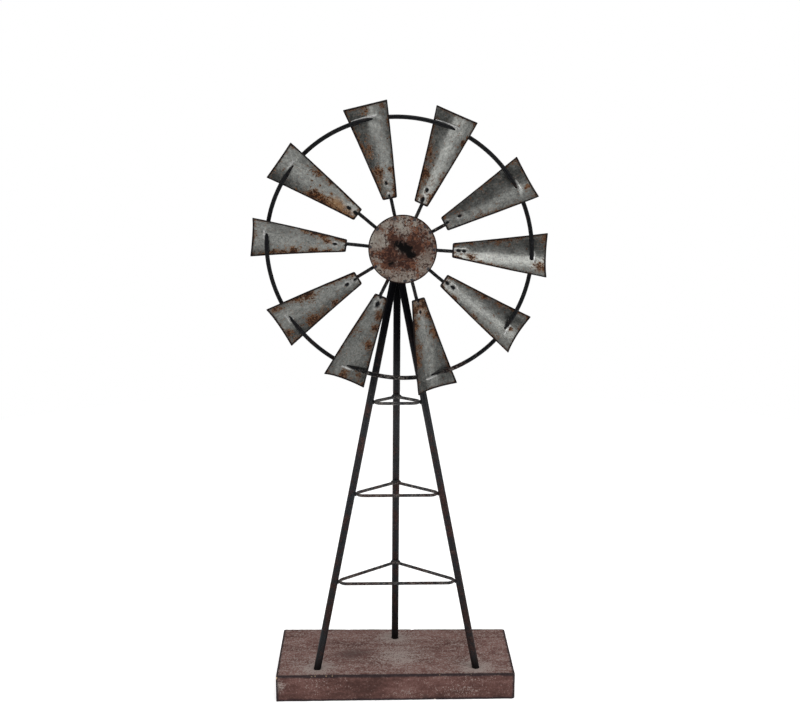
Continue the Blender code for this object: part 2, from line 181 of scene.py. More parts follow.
# The soft fold down each blade: share of the half width, and slope either side of it.
BLADE_FOLDS = ((0.30, 0.035), (0.0, 0.0), (0.0, 0.0), (0.0, 0.0), (0.0, 0.0),
               (0.0, 0.0), (0.10, 0.045), (0.0, 0.045), (-0.05, 0.060), (0.22, 0.060))
# How much thinner the ring is hammered where it threads each blade, and over how many
# millimetres in front of the blade.
RING_PINCHES = ((0.55, 13.0), (0.62, 13.0), (0.35, 9.0), (0.45, 13.0), (0.62, 19.0),
                (0.62, 19.0), (0.45, 12.0), (0.0, 10.0), (0.45, 11.0), (0.52, 13.0))
# How light each sheet's zinc is: partly its own weathering, partly painted light and shade for how light falls
# on each blade.
BLADE_SHADES = (0.86, 0.90, 0.79, 0.70, 0.56, 0.70, 0.95, 0.86, 0.79, 1.10)
# The solder line beside the ring on each blade, light grey as solder and as painted highlight along the ridge
# there:
# millimetres to the anticlockwise side of the ring's slit where it starts, and to the clockwise side where it
# ends.
SOLDER_LINES = ((17.0, 5.0), (-1.0, 5.5), (-2.5, 5.0), (-2.0, 5.0), (6.0, 5.5),
                (1.0, 6.5), (-2.5, 5.5), (-3.5, 4.5), (-3.0, 5.5), (17.0, 5.0))


# ================================================================ shapes

def rough(point, scale, seed=0.0):
    """Smooth noise, mostly between -0.7 and 0.7, in features about 1 / scale long."""
    return noise.noise(point * scale + Vector((seed, 1.7 * seed, 0.3 * seed)))


def ease(value, start, end):
    """0 at start, 1 at end, smooth between."""
    share = min(1.0, max(0.0, (value - start) / (end - start)))
    return share * share * (3.0 - 2.0 * share)


def bell(distance, radius):
    return math.exp(-(distance / radius) ** 2)


def mesh_from(name, shape, crease_deg=38.0):
    bmesh.ops.recalc_face_normals(shape, faces=shape.faces)
    mesh = bpy.data.meshes.new(name)
    shape.to_mesh(mesh)
    shape.free()
    mesh.shade_smooth()
    mesh.set_sharp_from_angle(angle=math.radians(crease_deg))
    return mesh


def applied(mesh, add_modifiers):
    """The mesh with modifiers put on it and applied."""
    obj = bpy.data.objects.new("workpiece", mesh)
    bpy.context.scene.collection.objects.link(obj)
    add_modifiers(obj)
    bpy.context.view_layer.update()
    evaluated = obj.evaluated_get(bpy.context.evaluated_depsgraph_get())
    made = bpy.data.meshes.new_from_object(evaluated)
    bpy.data.objects.remove(obj, do_unlink=True)
    return made


def add_piece(name, mesh, material, body, slot, *replaced):
    mesh.materials.clear()
    mesh.materials.append(material)
    piece = bpy.data.objects.new(name, mesh)
    bpy.context.scene.collection.objects.link(piece)
    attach(piece, body)
    if replaced:
        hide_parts(*replaced)
    return piece


def resample(points, step, closed=False):
    """Points about a step apart along straight runs, with every corner kept."""
    stops = points + points[:1] if closed else points
    path = []
    for start, end in zip(stops, stops[1:]):
        count = max(1, round((end - start).length / step))
        path += [start.lerp(end, i / count) for i in range(count)]
    return path if closed else path + [stops[-1]]


def sweep(shape, path, diameter, across, sides, closed=False, wear=0.012, seed=0.0, slim=None):
    """A rod along a path, a little uneven. across is a direction the path never takes, and
    slim gives the share of the diameter left at a point."""
    count = len(path)
    if not closed:
        first = path[0].lerp(path[1], 0.4)
        last = path[-1].lerp(path[-2], 0.4)
        path = [path[0], first] + path[1:-1] + [last, path[-1]]
        count = len(path)
    rings = []
    for i, centre in enumerate(path):
        before = path[i - 1] if closed or i else centre
        after = path[(i + 1) % count] if closed or i < count - 1 else centre
        along = (after - before).normalized()
        side = along.cross(across).normalized()
        rise = side.cross(along)
        chamfer = 0.8 if not closed and i in (0, count - 1) else 1.0
        ring = []
        for k in range(sides):
            angle = 2.0 * math.pi * k / sides
            spoke = side * math.cos(angle) + rise * math.sin(angle)
            rim = centre + spoke * diameter / 2.0
            radius = diameter / 2.0 * chamfer * (1.0 + wear * rough(rim, 260.0, seed))
            radius *= slim(centre) if slim else 1.0
            ring.append(shape.verts.new(centre + spoke * radius))
        rings.append(ring)
    last_pair = count if closed else count - 1
    for i in range(last_pair):
        near, far = rings[i], rings[(i + 1) % count]
        for k in range(sides):
            shape.faces.new((near[k], near[k - 1], far[k - 1], far[k]))
    if not closed:
        shape.faces.new(rings[0])
        shape.faces.new(rings[-1])


def fillet(before, corner, after, radius, steps=10):
    """The points of the arc that rounds one corner of a path."""
    inward = (before - corner).normalized()
    outward = (after - corner).normalized()
    half = inward.angle(outward) / 2.0
    centre = corner + (inward + outward).normalized() * (radius / math.sin(half))
    start = corner + inward * (radius / math.tan(half)) - centre
    end = corner + outward * (radius / math.tan(half)) - centre
    axis = start.cross(end).normalized()
    sweep_angle = start.angle(end)
    return [centre + Matrix.Rotation(sweep_angle * i / steps, 3, axis) @ start
            for i in range(steps + 1)]


def belt(pins, height, steps=12):
    """The closed path of a rod bent tight round circular pins, anticlockwise from above."""
    count = len(pins)
    tangents = []
    for i, (centre, radius) in enumerate(pins):
        other, other_radius = pins[(i + 1) % count]
        along = other - centre
        tangents.append(math.atan2(along.y, along.x)
                        - math.acos((radius - other_radius) / along.length))
    points = []
    for i, (centre, radius) in enumerate(pins):
        arrive = tangents[i - 1]
        turn = (tangents[i] - arrive) % (2.0 * math.pi)
        for step in range(steps + 1):
            angle = arrive + turn * step / steps
            points.append(Vector((centre.x + radius * math.cos(angle),
                                  centre.y + radius * math.sin(angle), height)))
    return points


def lump(shape, centre, size, seed, stretch=1.0, along=UP):
    """A small uneven blob of weld metal."""
    made = bmesh.ops.create_icosphere(shape, subdivisions=2, radius=size)
    direction = along.normalized()
    for vert in made["verts"]:
        offset = vert.co * (1.0 + 0.22 * rough(vert.co, 700.0, seed))
        offset += direction * offset.dot(direction) * (stretch - 1.0)
        vert.co = centre + offset


def fused(name, shape, voxel=0.32 * MM):
    """The lumps run together, as weld metal does."""
    def melt(obj):
        remesh = obj.modifiers.new("melt", "REMESH")
        remesh.mode = "VOXEL"
        remesh.voxel_size = voxel
        soften = obj.modifiers.new("soften", "SMOOTH")
        soften.factor = 0.5
        soften.iterations = 2
    mesh = applied(mesh_from(name, shape), melt)
    mesh.shade_smooth()
    return mesh


# ================================================================ finishes

class Finish:
    """A node material while it is put together."""

    def __init__(self, name):
        self.material = bpy.data.materials.new(name)
        self.material.use_nodes = True
        self.tree = self.material.node_tree
        self.shader = self.tree.nodes["Principled BSDF"]

    def node(self, kind, **settings):
        made = self.tree.nodes.new(kind)
        for key, value in settings.items():
            setattr(made, key, value)
        return made

    def feed(self, socket, source):
        if isinstance(source, bpy.types.NodeSocket):
            self.tree.links.new(source, socket)
        else:
            socket.default_value = source

    def attribute(self, name, output="Fac"):
        return self.node("ShaderNodeAttribute", attribute_name=name).outputs[output]

    def place(self):
        return self.node("ShaderNodeTexCoord").outputs["Object"]

    def height(self):
        split = self.node("ShaderNodeSeparateXYZ")
        self.feed(split.inputs[0], self.place())
        return split.outputs["Z"]

    def scaled(self, place, scale, shift=(0.0, 0.0, 0.0)):
        mapping = self.node("ShaderNodeMapping")
        self.feed(mapping.inputs["Vector"], place)
        mapping.inputs["Scale"].default_value = scale
        mapping.inputs["Location"].default_value = shift
        return mapping.outputs["Vector"]

    def noise(self, place, scale, detail=4.0, roughness=0.6, distortion=0.0):
        made = self.node("ShaderNodeTexNoise")
        self.feed(made.inputs["Vector"], place)
        made.inputs["Scale"].default_value = scale
        made.inputs["Detail"].default_value = detail
        made.inputs["Roughness"].default_value = roughness
        made.inputs["Distortion"].default_value = distortion
        return made.outputs["Fac"]

    def math(self, operation, first, second=0.0, clamp=False):
        made = self.node("ShaderNodeMath", operation=operation, use_clamp=clamp)
        self.feed(made.inputs[0], first)
        self.feed(made.inputs[1], second)
        return made.outputs[0]

    def total(self, *parts):
        """The sum of (value, weight) pairs."""
        result = None
        for value, weight in parts:
            part = self.math("MULTIPLY", value, weight)
            result = part if result is None else self.math("ADD", result, part)
        return result

    def step(self, value, start, end, low=0.0, high=1.0):
        made = self.node("ShaderNodeMapRange", interpolation_type="SMOOTHSTEP")
        self.feed(made.inputs["Value"], value)
        made.inputs["From Min"].default_value = start
        made.inputs["From Max"].default_value = end
        made.inputs["To Min"].default_value = low
        made.inputs["To Max"].default_value = high
        return made.outputs["Result"]

    def ramp(self, value, *stops):
        made = self.node("ShaderNodeValToRGB")
        self.feed(made.inputs["Fac"], value)
        elements = made.color_ramp.elements
        while len(elements) < len(stops):
            elements.new(0.5)
        for element, (position, colour) in zip(elements, stops):
            element.position = position
            element.color = (*colour, 1.0)
        return made.outputs["Color"]

    def mix(self, share, first, second):
        made = self.node("ShaderNodeMix", data_type="RGBA")
        self.feed(made.inputs["Factor"], share)
        for socket, colour in ((made.inputs["A"], first), (made.inputs["B"], second)):
            self.feed(socket, (*colour, 1.0) if isinstance(colour, tuple) else colour)
        return made.outputs["Result"]

    def bump(self, height, distance, strength, under=None):
        made = self.node("ShaderNodeBump")
        self.feed(made.inputs["Height"], height)
        made.inputs["Distance"].default_value = distance
        made.inputs["Strength"].default_value = strength
        if under is not None:
            self.feed(made.inputs["Normal"], under)
        return made.outputs["Normal"]

    def finish(self, colour, roughness, metallic, normal=None):
        self.feed(self.shader.inputs["Base Color"], colour)
        self.feed(self.shader.inputs["Roughness"], roughness)
        self.feed(self.shader.inputs["Metallic"], metallic)
        if normal is not None:
            self.feed(self.shader.inputs["Normal"], normal)
        return self.material


RUST_DARK = (0.013, 0.006, 0.004)
RUST_RED = (0.078, 0.030, 0.013)
RUST_ORANGE = (0.215, 0.096, 0.036)
RUST_BROWN = (0.185, 0.098, 0.040)
RUST_TAN = (0.290, 0.190, 0.100)
RUST_VEIL = (0.135, 0.090, 0.055)
SOOT = (0.006, 0.006, 0.007)


def sheet_finish(name, index):
    """Galvanised sheet, weathered: grey mottle, rust in patches, dark cut edges."""
    f = Finish(name)
    place = f.scaled(f.attribute("place", "Vector"), (1.0, 1.0, 1.0), (0.37 * index, 0.0, 0.0))
    rusty = f.attribute("rusty")
    edge = f.attribute("edge")
    cloud = f.noise(place, 60.0, 4.0, 0.6)
    mottle = f.noise(place, 260.0, 5.0, 0.7)
    speck = f.noise(place, 620.0, 4.0, 0.65)
    drawn = f.noise(f.scaled(place, (0.10, 1.0, 1.0)), 1100.0, 3.0, 0.6)
    tone = f.total((cloud, 0.16), (mottle, 0.38), (speck, 0.36), (drawn, 0.10))
    # Each blade's lightness: its own weathering together with painted light and shade.
    shade = BLADE_SHADES[index]
    zinc = f.ramp(tone, (0.41, (0.103 * shade, 0.106 * shade, 0.100 * shade)),
                  (0.50, (0.200 * shade, 0.204 * shade, 0.193 * shade)),
                  (0.59, (0.325 * shade, 0.329 * shade, 0.308 * shade)))
    grime = f.step(f.total((edge, 1.0), (mottle, 6.0)), 3.0, 7.5, 0.55, 1.0)
    zinc = f.mix(grime, (0.040, 0.039, 0.037), zinc)
    spread = f.noise(place, 200.0, 6.0, 0.72, 0.4)
    level = f.total((spread, 0.45), (speck, 0.55), (rusty, 0.18), (f.attribute("stain"), 0.03))
    rust = f.step(level, 0.575, 0.598, 0.0, 0.96)
    veil = f.step(f.total((spread, 0.50), (speck, 0.20), (rusty, 0.30)), 0.385, 0.56, 0.0, 0.85)
    stain = f.step(f.total((spread, 0.60), (mottle, 0.30), (f.attribute("stain"), 0.34)),
                   0.50, 0.84, 0.0, 0.88)
    tan = f.ramp(f.total((mottle, 0.5), (speck, 0.5)), (0.40, RUST_RED), (0.50, RUST_BROWN),
                 (0.60, RUST_TAN))
    warmth = RUST_WARMTHS[index]
    orange = [red + warmth * (full - red) for red, full in zip(RUST_RED, RUST_ORANGE)]
    rust_colour = f.ramp(f.total((level, 1.0), (mottle, 0.35)), (0.742, orange),
                         (0.790, RUST_RED), (0.85, RUST_DARK))
    ragged_edge = f.total((edge, 1.0), (mottle, 1.6), (speck, 0.8))
    edge_dark = f.step(ragged_edge, 3.4, 2.5)
    mark = f.step(f.attribute("mark"), 0.35, 0.60)
    colour = f.mix(veil, zinc, RUST_VEIL)
    colour = f.mix(stain, colour, tan)
    colour = f.mix(rust, colour, rust_colour)
    # Painted highlight: light grey along the raised lip beside the ring's slit, and on the pale rings round
    # the spot welds.
    lit = f.math("MULTIPLY", f.attribute("bright"), f.step(mottle, 0.40, 0.56, 0.3, 0.95),
                 clamp=True)
    colour = f.mix(lit, colour, (0.46, 0.46, 0.45))
    colour = f.mix(f.math("MULTIPLY", edge_dark, 0.94), colour, (0.008, 0.006, 0.006))
    colour = f.mix(mark, colour, SOOT)
    dull = f.math("MAXIMUM", f.math("MAXIMUM", rust, edge_dark), mark)
    roughness = f.total((cloud, 0.16), (mottle, 0.16), (dull, 0.35))
    roughness = f.math("ADD", roughness, 0.20)
    metallic = f.math("SUBTRACT", 0.92, f.math("MULTIPLY", dull, 0.88), clamp=True)
    gloss = f.math("SUBTRACT", 0.50, f.math("MULTIPLY", dull, 0.44), clamp=True)
    f.feed(f.shader.inputs["Specular IOR Level"], gloss)
    relief = f.total((mottle, 0.5), (rust, 0.6), (speck, 0.4))
    return f.finish(colour, roughness, metallic, f.bump(relief, 0.12 * MM, 0.6))


def rod_finish(name, brown_from, brown_to, shade, gloss, wear_and_highlight_from=0.60, low_painted_highlight=0.0,
               painted_shade_top=0.0):
    """Black steel rod. The brown grows from brown_from to brown_to in height: rust bloom on the tower, a
    painted reflection of the brown base on the ring's bottom.
    low_painted_highlight says how much painted highlight, as bright bare metal, is added there, and
    painted_shade_top how much painted shade blackens it under the hub."""
    f = Finish(name)
    place = f.place()
    broad = f.noise(place, 45.0, 4.0, 0.6)
    patch = f.noise(place, 190.0, 5.0, 0.7)
    fine = f.noise(place, 900.0, 4.0, 0.7)
    low = f.step(f.height(), brown_from, brown_to)
    level = f.total((broad, 0.40), (patch, 0.40), (fine, 0.20), (low, 0.065))
    black = f.ramp(fine, (0.38, (0.003 * shade, 0.0033 * shade, 0.004 * shade)),
                   (0.62, (0.020 * shade, 0.021 * shade, 0.025 * shade)))
    brown = f.ramp(fine, (0.40, (0.006 * shade, 0.003 * shade, 0.0025 * shade)),
                   (0.60, (0.052 * shade, 0.023 * shade, 0.019 * shade)))
    colour = f.mix(f.step(level, 0.535, 0.61), black, brown)
    # low_painted_highlight adds painted highlight low down; the rest of this mask is real wear.
    wear_and_highlight_level = f.total((fine, 0.6), (patch, 0.4), (low, low_painted_highlight))
    wear_and_highlight = f.step(wear_and_highlight_level, wear_and_highlight_from, wear_and_highlight_from + 0.07, 0.0, 0.8)
    colour = f.mix(wear_and_highlight, colour, (0.155, 0.142, 0.130))
    colour = f.mix(f.step(f.height(), 0.20, 0.06, 0.0, 0.35), colour, (0.003, 0.002, 0.002))
    # Painted shade: near-black under the hub and wheel, with the sheen taken away there too.
    painted_shade_under_hub = f.step(f.height(), 0.27, 0.39, 0.0, painted_shade_top)
    colour = f.mix(painted_shade_under_hub, colour, (0.002, 0.002, 0.003))
    # Painted shade: darker just above the base, where the rod goes into its hole.
    colour = f.mix(f.step(f.height(), 0.044, 0.031), colour, (0.003, 0.002, 0.002))
    roughness = f.step(level, 0.40, 0.62, 0.30, 0.62)
    relief = f.total((patch, 0.6), (fine, 0.4))
    sheen = f.math("MULTIPLY", f.step(low, 0.0, 1.0, gloss, 0.4 * gloss),
                   f.math("SUBTRACT", 1.0, painted_shade_under_hub))
    f.feed(f.shader.inputs["Specular IOR Level"], sheen)
    return f.finish(colour, roughness, 0.0, f.bump(relief, 0.10 * MM, 0.55))


def hub_finish():
    """Pale paint over rust: beige grey, red-brown speckle and a burnt middle."""
    f = Finish("hub_paint")
    place = f.place()
    burn = f.attribute("burn")
    wear = f.attribute("wear")
    cloud = f.noise(place, 75.0, 4.0, 0.62, 0.3)
    spread = f.noise(place, 165.0, 6.0, 0.74, 0.6)
    speck = f.noise(place, 460.0, 5.0, 0.70)
    paint = f.ramp(f.total((cloud, 0.4), (speck, 0.6)), (0.42, (0.120, 0.085, 0.068)),
                   (0.50, (0.205, 0.170, 0.142)), (0.59, (0.290, 0.272, 0.240)))
    level = f.total((spread, 0.55), (speck, 0.45), (wear, 0.195))
    rust = f.step(level, 0.572, 0.618)
    rust_colour = f.ramp(f.total((spread, 0.5), (speck, 0.5)), (0.44, (0.026, 0.010, 0.007)),
                         (0.50, (0.080, 0.028, 0.017)), (0.57, (0.172, 0.070, 0.036)))
    colour = f.mix(f.math("MULTIPLY", rust, 0.95), paint, rust_colour)
    fleck_level = f.total((f.noise(place, 540.0, 4.0, 0.6), 0.6),
                          (f.noise(place, 240.0, 3.0, 0.6), 0.4), (wear, 0.10))
    fleck = f.step(fleck_level, 0.558, 0.588, 0.0, 0.92)
    colour = f.mix(fleck, colour, (0.026, 0.010, 0.007))
    singe = f.step(f.total((burn, 0.55), (spread, 1.2), (speck, 0.8)), 1.02, 1.36, 0.0, 0.85)
    colour = f.mix(singe, colour, (0.030, 0.014, 0.010))
    soot_level = f.total((burn, 0.68), (spread, 1.1), (speck, 0.9))
    soot = f.step(soot_level, 1.28, 1.47)
    colour = f.mix(soot, colour, (0.004, 0.0035, 0.0035))
    mark = f.step(f.attribute("mark"), 0.30, 0.6, 0.0, 0.88)
    colour = f.mix(mark, colour, (0.016, 0.020, 0.028))
    edge_dark = f.step(f.total((f.attribute("edge"), 1.0), (spread, 1.6)), 2.5, 1.5)
    colour = f.mix(edge_dark, colour, (0.012, 0.007, 0.006))
    roughness = f.total((spread, 0.30), (rust, 0.15))
    roughness = f.math("ADD", roughness, 0.40)
    metallic = f.step(rust, 0.0, 1.0, 0.25, 0.0)
    relief = f.total((spread, 0.5), (speck, 0.4), (rust, 0.3))
    matt = f.math("MAXIMUM", f.math("MAXIMUM", soot, edge_dark), f.math("MULTIPLY", rust, 0.7))
    gloss = f.math("SUBTRACT", 0.30, f.math("MULTIPLY", matt, 0.28), clamp=True)
    f.feed(f.shader.inputs["Specular IOR Level"], gloss)
    metallic = f.math("MULTIPLY", metallic, f.math("SUBTRACT", 1.0, soot))
    return f.finish(colour, roughness, metallic, f.bump(relief, 0.20 * MM, 0.7))


def base_finish():
    """Brown paint, dusted pale on top and made lighter there with painted light from above, rubbed dark along
    the edges.
    """
    f = Finish("base_paint")
    place = f.place()
    bloom = f.attribute("bloom")
    top = f.attribute("top")
    edge = f.attribute("edge")
    cloud = f.noise(f.scaled(place, (0.5, 1.0, 1.0)), 34.0, 4.0, 0.6, 0.3)
    blotch = f.noise(f.scaled(place, (0.35, 1.0, 1.0)), 170.0, 5.0, 0.68)
    sand = f.noise(place, 480.0, 4.0, 0.75)
    grit = f.noise(place, 980.0, 3.0, 0.65)
    # Painted light: the top's share lightens the paint on the top face; in dust_level it adds real dust, which
    # also stands in for sheen there.
    paint = f.ramp(f.total((cloud, 0.35), (blotch, 0.35), (sand, 0.30), (top, 0.065)),
                   (0.41, (0.050, 0.022, 0.018)), (0.51, (0.098, 0.046, 0.039)),
                   (0.61, (0.158, 0.084, 0.073)))
    dust_level = f.total((sand, 0.45), (grit, 0.40), (blotch, 0.15), (bloom, 0.100), (top, 0.058))
    dust = f.step(dust_level, 0.560, 0.630, 0.0, 0.86)
    colour = f.mix(dust, paint, (0.285, 0.238, 0.216))
    dark = f.step(f.total((cloud, 0.5), (blotch, 0.3), (sand, 0.2), (f.attribute("stain"), 0.23)),
                  0.55, 0.80, 0.0, 0.70)
    colour = f.mix(dark, colour, (0.040, 0.024, 0.022))
    edge_dark = f.step(f.total((edge, 1.0), (blotch, 2.6), (sand, 1.4)), 5.6, 3.2, 0.0, 0.93)
    colour = f.mix(edge_dark, colour, (0.016, 0.010, 0.012))
    chip = f.step(f.total((f.attribute("chip"), 1.0), (sand, 0.5)), 0.75, 0.95)
    colour = f.mix(chip, colour, (0.46, 0.32, 0.20))
    roughness = f.step(dust_level, 0.4, 0.7, 0.62, 0.85)
    relief = f.total((sand, 0.55), (blotch, 0.4), (grit, 0.3))
    f.shader.inputs["Specular IOR Level"].default_value = 0.14
    return f.finish(colour, roughness, 0.0, f.bump(relief, 0.28 * MM, 0.6))


def weld_finish(name, dark, light, metallic):
    f = Finish(name)
    place = f.place()
    fine = f.noise(place, 1100.0, 4.0, 0.7)
    patch = f.noise(place, 350.0, 4.0, 0.6)
    colour = f.ramp(f.total((fine, 0.5), (patch, 0.5)), (0.40, dark), (0.60, light))
    colour = f.mix(f.step(patch, 0.56, 0.66, 0.0, 0.5), colour, (0.040, 0.018, 0.010))
    f.shader.inputs["Specular IOR Level"].default_value = 0.25
    return f.finish(colour, f.step(fine, 0.3, 0.7, 0.36, 0.62), metallic,
                    f.bump(fine, 0.10 * MM, 0.6))


def fastener_finish():
    f = Finish("dull_zinc")
    place = f.place()
    patch = f.noise(place, 260.0, 5.0, 0.7)
    fine = f.noise(place, 1200.0, 3.0, 0.6)
    zinc = f.ramp(fine, (0.35, (0.110, 0.108, 0.100)), (0.65, (0.260, 0.255, 0.240)))
    rust = f.step(f.total((patch, 0.7), (fine, 0.3)), 0.50, 0.58)
    colour = f.mix(rust, zinc, f.ramp(fine, (0.4, RUST_DARK), (0.6, RUST_RED)))
    return f.finish(colour, f.step(patch, 0.4, 0.6, 0.35, 0.75),
                    f.step(patch, 0.5, 0.6, 0.85, 0.15), f.bump(patch, 0.10 * MM, 0.5))


# ================================================================ stand

def set_attribute(mesh, name, values):
    layer = mesh.attributes.new(name, "FLOAT", "POINT")
    layer.data.foreach_set("value", values)


def base_lines(low, high, step):
    """Grid lines from low to high: close together at both ends, step apart between."""
    margin = [0.0, 0.25 * MM, 0.6 * MM, 1.1 * MM, 1.8 * MM]
    inner_low, inner_high = low + 3.0 * MM, high - 3.0 * MM
    count = round((inner_high - inner_low) / step)
    middle = [inner_low + (inner_high - inner_low) * i / count for i in range(count + 1)]
    return [low + m for m in margin] + middle + [high - m for m in reversed(margin)]


def box_skin(lines):
    """A closed box as a grid of quads with the given lines along each axis."""
    shape = bmesh.new()
    known = {}

    def vert(i, j, k):
        if (i, j, k) not in known:
            known[(i, j, k)] = shape.verts.new((lines[0][i], lines[1][j], lines[2][k]))
        return known[(i, j, k)]

    last = [len(axis) - 1 for axis in lines]
    for axis in range(3):
        a, b = [n for n in range(3) if n != axis]
        for end in (0, last[axis]):
            for i in range(last[a]):
                for j in range(last[b]):
                    corners = []
                    for di, dj in ((0, 0), (1, 0), (1, 1), (0, 1)):
                        index = [0, 0, 0]
                        index[axis], index[a], index[b] = end, i + di, j + dj
                        corners.append(vert(*index))
                    shape.faces.new(corners)
    return shape


def base_chips():
    """Small flakes out of the top edges: middle, radius."""
    front, top = BASE_LOW.y, BASE_HIGH.z
    left, right = BASE_LOW.x, BASE_HIGH.x
    return (
        (Vector((left + 0.036, front, top)), 1.9 * MM), (Vector((left + 0.040, front, top)), 1.4 * MM),
        (Vector((left + 0.0505, front, top)), 1.7 * MM), (Vector((left + 0.057, front, top)), 1.5 * MM),
        (Vector((right - 0.077, front, top)), 1.5 * MM), (Vector((right - 0.045, front, top)), 1.2 * MM),
        (Vector((left, front, top - 0.002)), 2.4 * MM), (Vector((right, front, 0.0)), 2.0 * MM),
        (Vector((left, front + 0.031, top)), 1.6 * MM), (Vector((right, -front - 0.02, top)), 1.8 * MM),
        (Vector((0.02, -front, top)), 1.9 * MM), (Vector((-0.05, -front, top)), 1.4 * MM),
        (Vector((left, -front, top)), 2.2 * MM), (Vector((right, -front, top)), 2.0 * MM),
        (Vector((0.040, front, 0.0)), 1.8 * MM),
    )


def make_base():
    low, high = BASE_LOW, BASE_HIGH
    shape = box_skin([base_lines(low[i], high[i], 1.6 * MM) for i in range(3)])
    chips = base_chips()
    middle = (low + high) / 2.0
    fields = {"edge": [], "top": [], "bloom": [], "stain": [], "chip": []}
    for vert in shape.verts:
        p = vert.co.copy()
        gaps = sorted(min(p[i] - low[i], high[i] - p[i]) for i in range(3))
        softness = (1.15 + 0.55 * rough(p, 70.0) + 0.35 * rough(p, 350.0, 3.0)) * MM
        core = Vector([min(high[i] - softness, max(low[i] + softness, p[i])) for i in range(3)])
        out = p - core
        if out.length > 0.0:
            p = core + out.normalized() * min(softness, out.length)
            direction = out.normalized()
            dent = 0.06 + 0.05 * rough(p, 40.0, 5.0) + 0.05 * rough(p, 420.0, 9.0)
            if p.z > low.z + 0.5 * MM:
                p -= direction * max(0.0, dent) * MM
        hollow = 0.0
        for centre, radius in chips:
            near = (p - centre).length + 0.35 * radius * rough(p, 900.0, 2.0)
            if near < radius:
                inward = (middle - centre)
                inward = Vector((inward.x * 0.05, inward.y * 0.4, inward.z)).normalized()
                p += inward * (radius - near) * 0.7
                hollow = max(hollow, 1.0 - near / radius)
        p.y *= 1.0 + (BASE_RIGHT_DEPTH / (high.y - low.y) - 1.0) * (p.x - low.x) / (high.x - low.x)
        for foot in LEG_FEET.values():
            reach = (Vector((p.x, p.y, 0.0)) - Vector((foot.x, foot.y, 0.0))).length
            if p.z > high.z - 1.0 * MM and reach < 9.0 * MM:
                p.z -= 0.25 * MM * bell(reach - 5.2 * MM, 0.9 * MM) * (0.6 + rough(p, 300.0))
                p.z -= 0.45 * MM * ease(reach, 4.6 * MM, 3.6 * MM)
        vert.co = p
        fields["edge"].append(gaps[1] / MM)
        # The top field carries both real dust and painted light on the top face.
        on_top = 1.0 if high.z - vert.co.z < 1.5 * MM else 0.0
        fields["top"].append(on_top)
        bloom = 0.0
        for foot in LEG_FEET.values():
            bloom = max(bloom, bell((p - foot).length, 17.0 * MM))
        bloom = max(bloom, 0.8 * bell((p - Vector((0.004, -0.012, high.z))).length, 22.0 * MM))
        corner = Vector((low.x + 3.0 * MM, low.y, 0.6 * high.z))
        bloom = max(bloom, 1.1 * bell((p - corner).length, 8.0 * MM))
        bloom = max(bloom, 0.55 * bell(p.x - 0.008, 14.0 * MM) * bell(p.z - 0.006, 5.0 * MM) * (1 - on_top))
        bloom = max(bloom, 0.55 * bell(p.x - 0.068, 26.0 * MM) * bell(p.z - 0.010, 8.0 * MM) * (1 - on_top))
        fields["bloom"].append(bloom)
        offset = p - Vector((-0.043, -0.006, high.z))
        stain = 1.1 * bell(offset.x - 0.3 * offset.y, 24.0 * MM) * bell(offset.y, 16.0 * MM) * on_top
        spot = p - Vector((0.031, low.y, 0.003))
        stain = max(stain, 1.2 * bell(spot.x, 5.0 * MM) * bell(spot.z, 4.0 * MM) * (1 - on_top))
        fields["stain"].append(stain)
        fields["chip"].append(hollow * 1.3)
    mesh = mesh_from("base_wood", shape, 60.0)
    for name, values in fields.items():
        set_attribute(mesh, name, values)
    add_piece("base_wood_block", mesh, base_finish(), "stand", "base_wood", "base_block")


def leg_direction(name):
    return (LEG_NECKS[name] - LEG_FEET[name]).normalized()


def leg_axis_at(name, height):
    foot, neck = LEG_FEET[name], LEG_NECKS[name]
    return foot + (neck - foot) * ((height - foot.z) / (neck.z - foot.z))


def leg_path(name):
    bottom = LEG_FEET[name] - leg_direction(name) * LEG_HOLE_DEPTH
    offset_x, top_y = LEG_TOP_OFFSETS[name]
    underside = WHEEL_CENTRE.z - SLEEVE_DIAMETER / 2.0
    top = Vector((WHEEL_CENTRE.x + offset_x, top_y, underside - LEG_TOP_BELOW_SLEEVE))
    return [bottom] + fillet(bottom, LEG_NECKS[name], top, LEG_BEND_RADIUS) + [top]


def make_legs(finish):
    for index, name in enumerate(LEG_FEET):
        shape = bmesh.new()
        path = resample(leg_path(name), 2.2 * MM)
        sweep(shape, path, LEG_DIAMETER, BACKWARD, 26, wear=0.010, seed=index)
        add_piece(name + "_rod", mesh_from(name, shape), finish, "stand", "tower_rod", name)


def brace_pins(height):
    stand_off = (LEG_DIAMETER + BRACE_DIAMETER) / 2.0 + GAP + BRACE_LEAN_ALLOWANCE
    reach = BRACE_CORNER_RADIUS + stand_off
    inward = math.sqrt(reach ** 2 - BRACE_CORNER_BEHIND_LEG ** 2)
    left = leg_axis_at("leg_front_left", height)
    right = leg_axis_at("leg_front_right", height)
    back = leg_axis_at("leg_back", height)
    return (
        (left + Vector((inward, BRACE_CORNER_BEHIND_LEG, 0.0)), BRACE_CORNER_RADIUS),
        (right + Vector((-inward, BRACE_CORNER_BEHIND_LEG, 0.0)), BRACE_CORNER_RADIUS),
        (back - Vector((0.0, BRACE_APEX_RADIUS + stand_off, 0.0)), BRACE_APEX_RADIUS),
    )


def make_braces(finish):
    for index, (name, height) in enumerate(BRACE_HEIGHTS.items()):
        shape = bmesh.new()
        path = resample(belt(brace_pins(height), height), 1.4 * MM, closed=True)
        sweep(shape, path, BRACE_DIAMETER, UP, 16, closed=True, wear=0.02, seed=4.0 + index)
        add_piece(name + "_rod", mesh_from(name, shape), finish, "stand", "tower_rod", name)


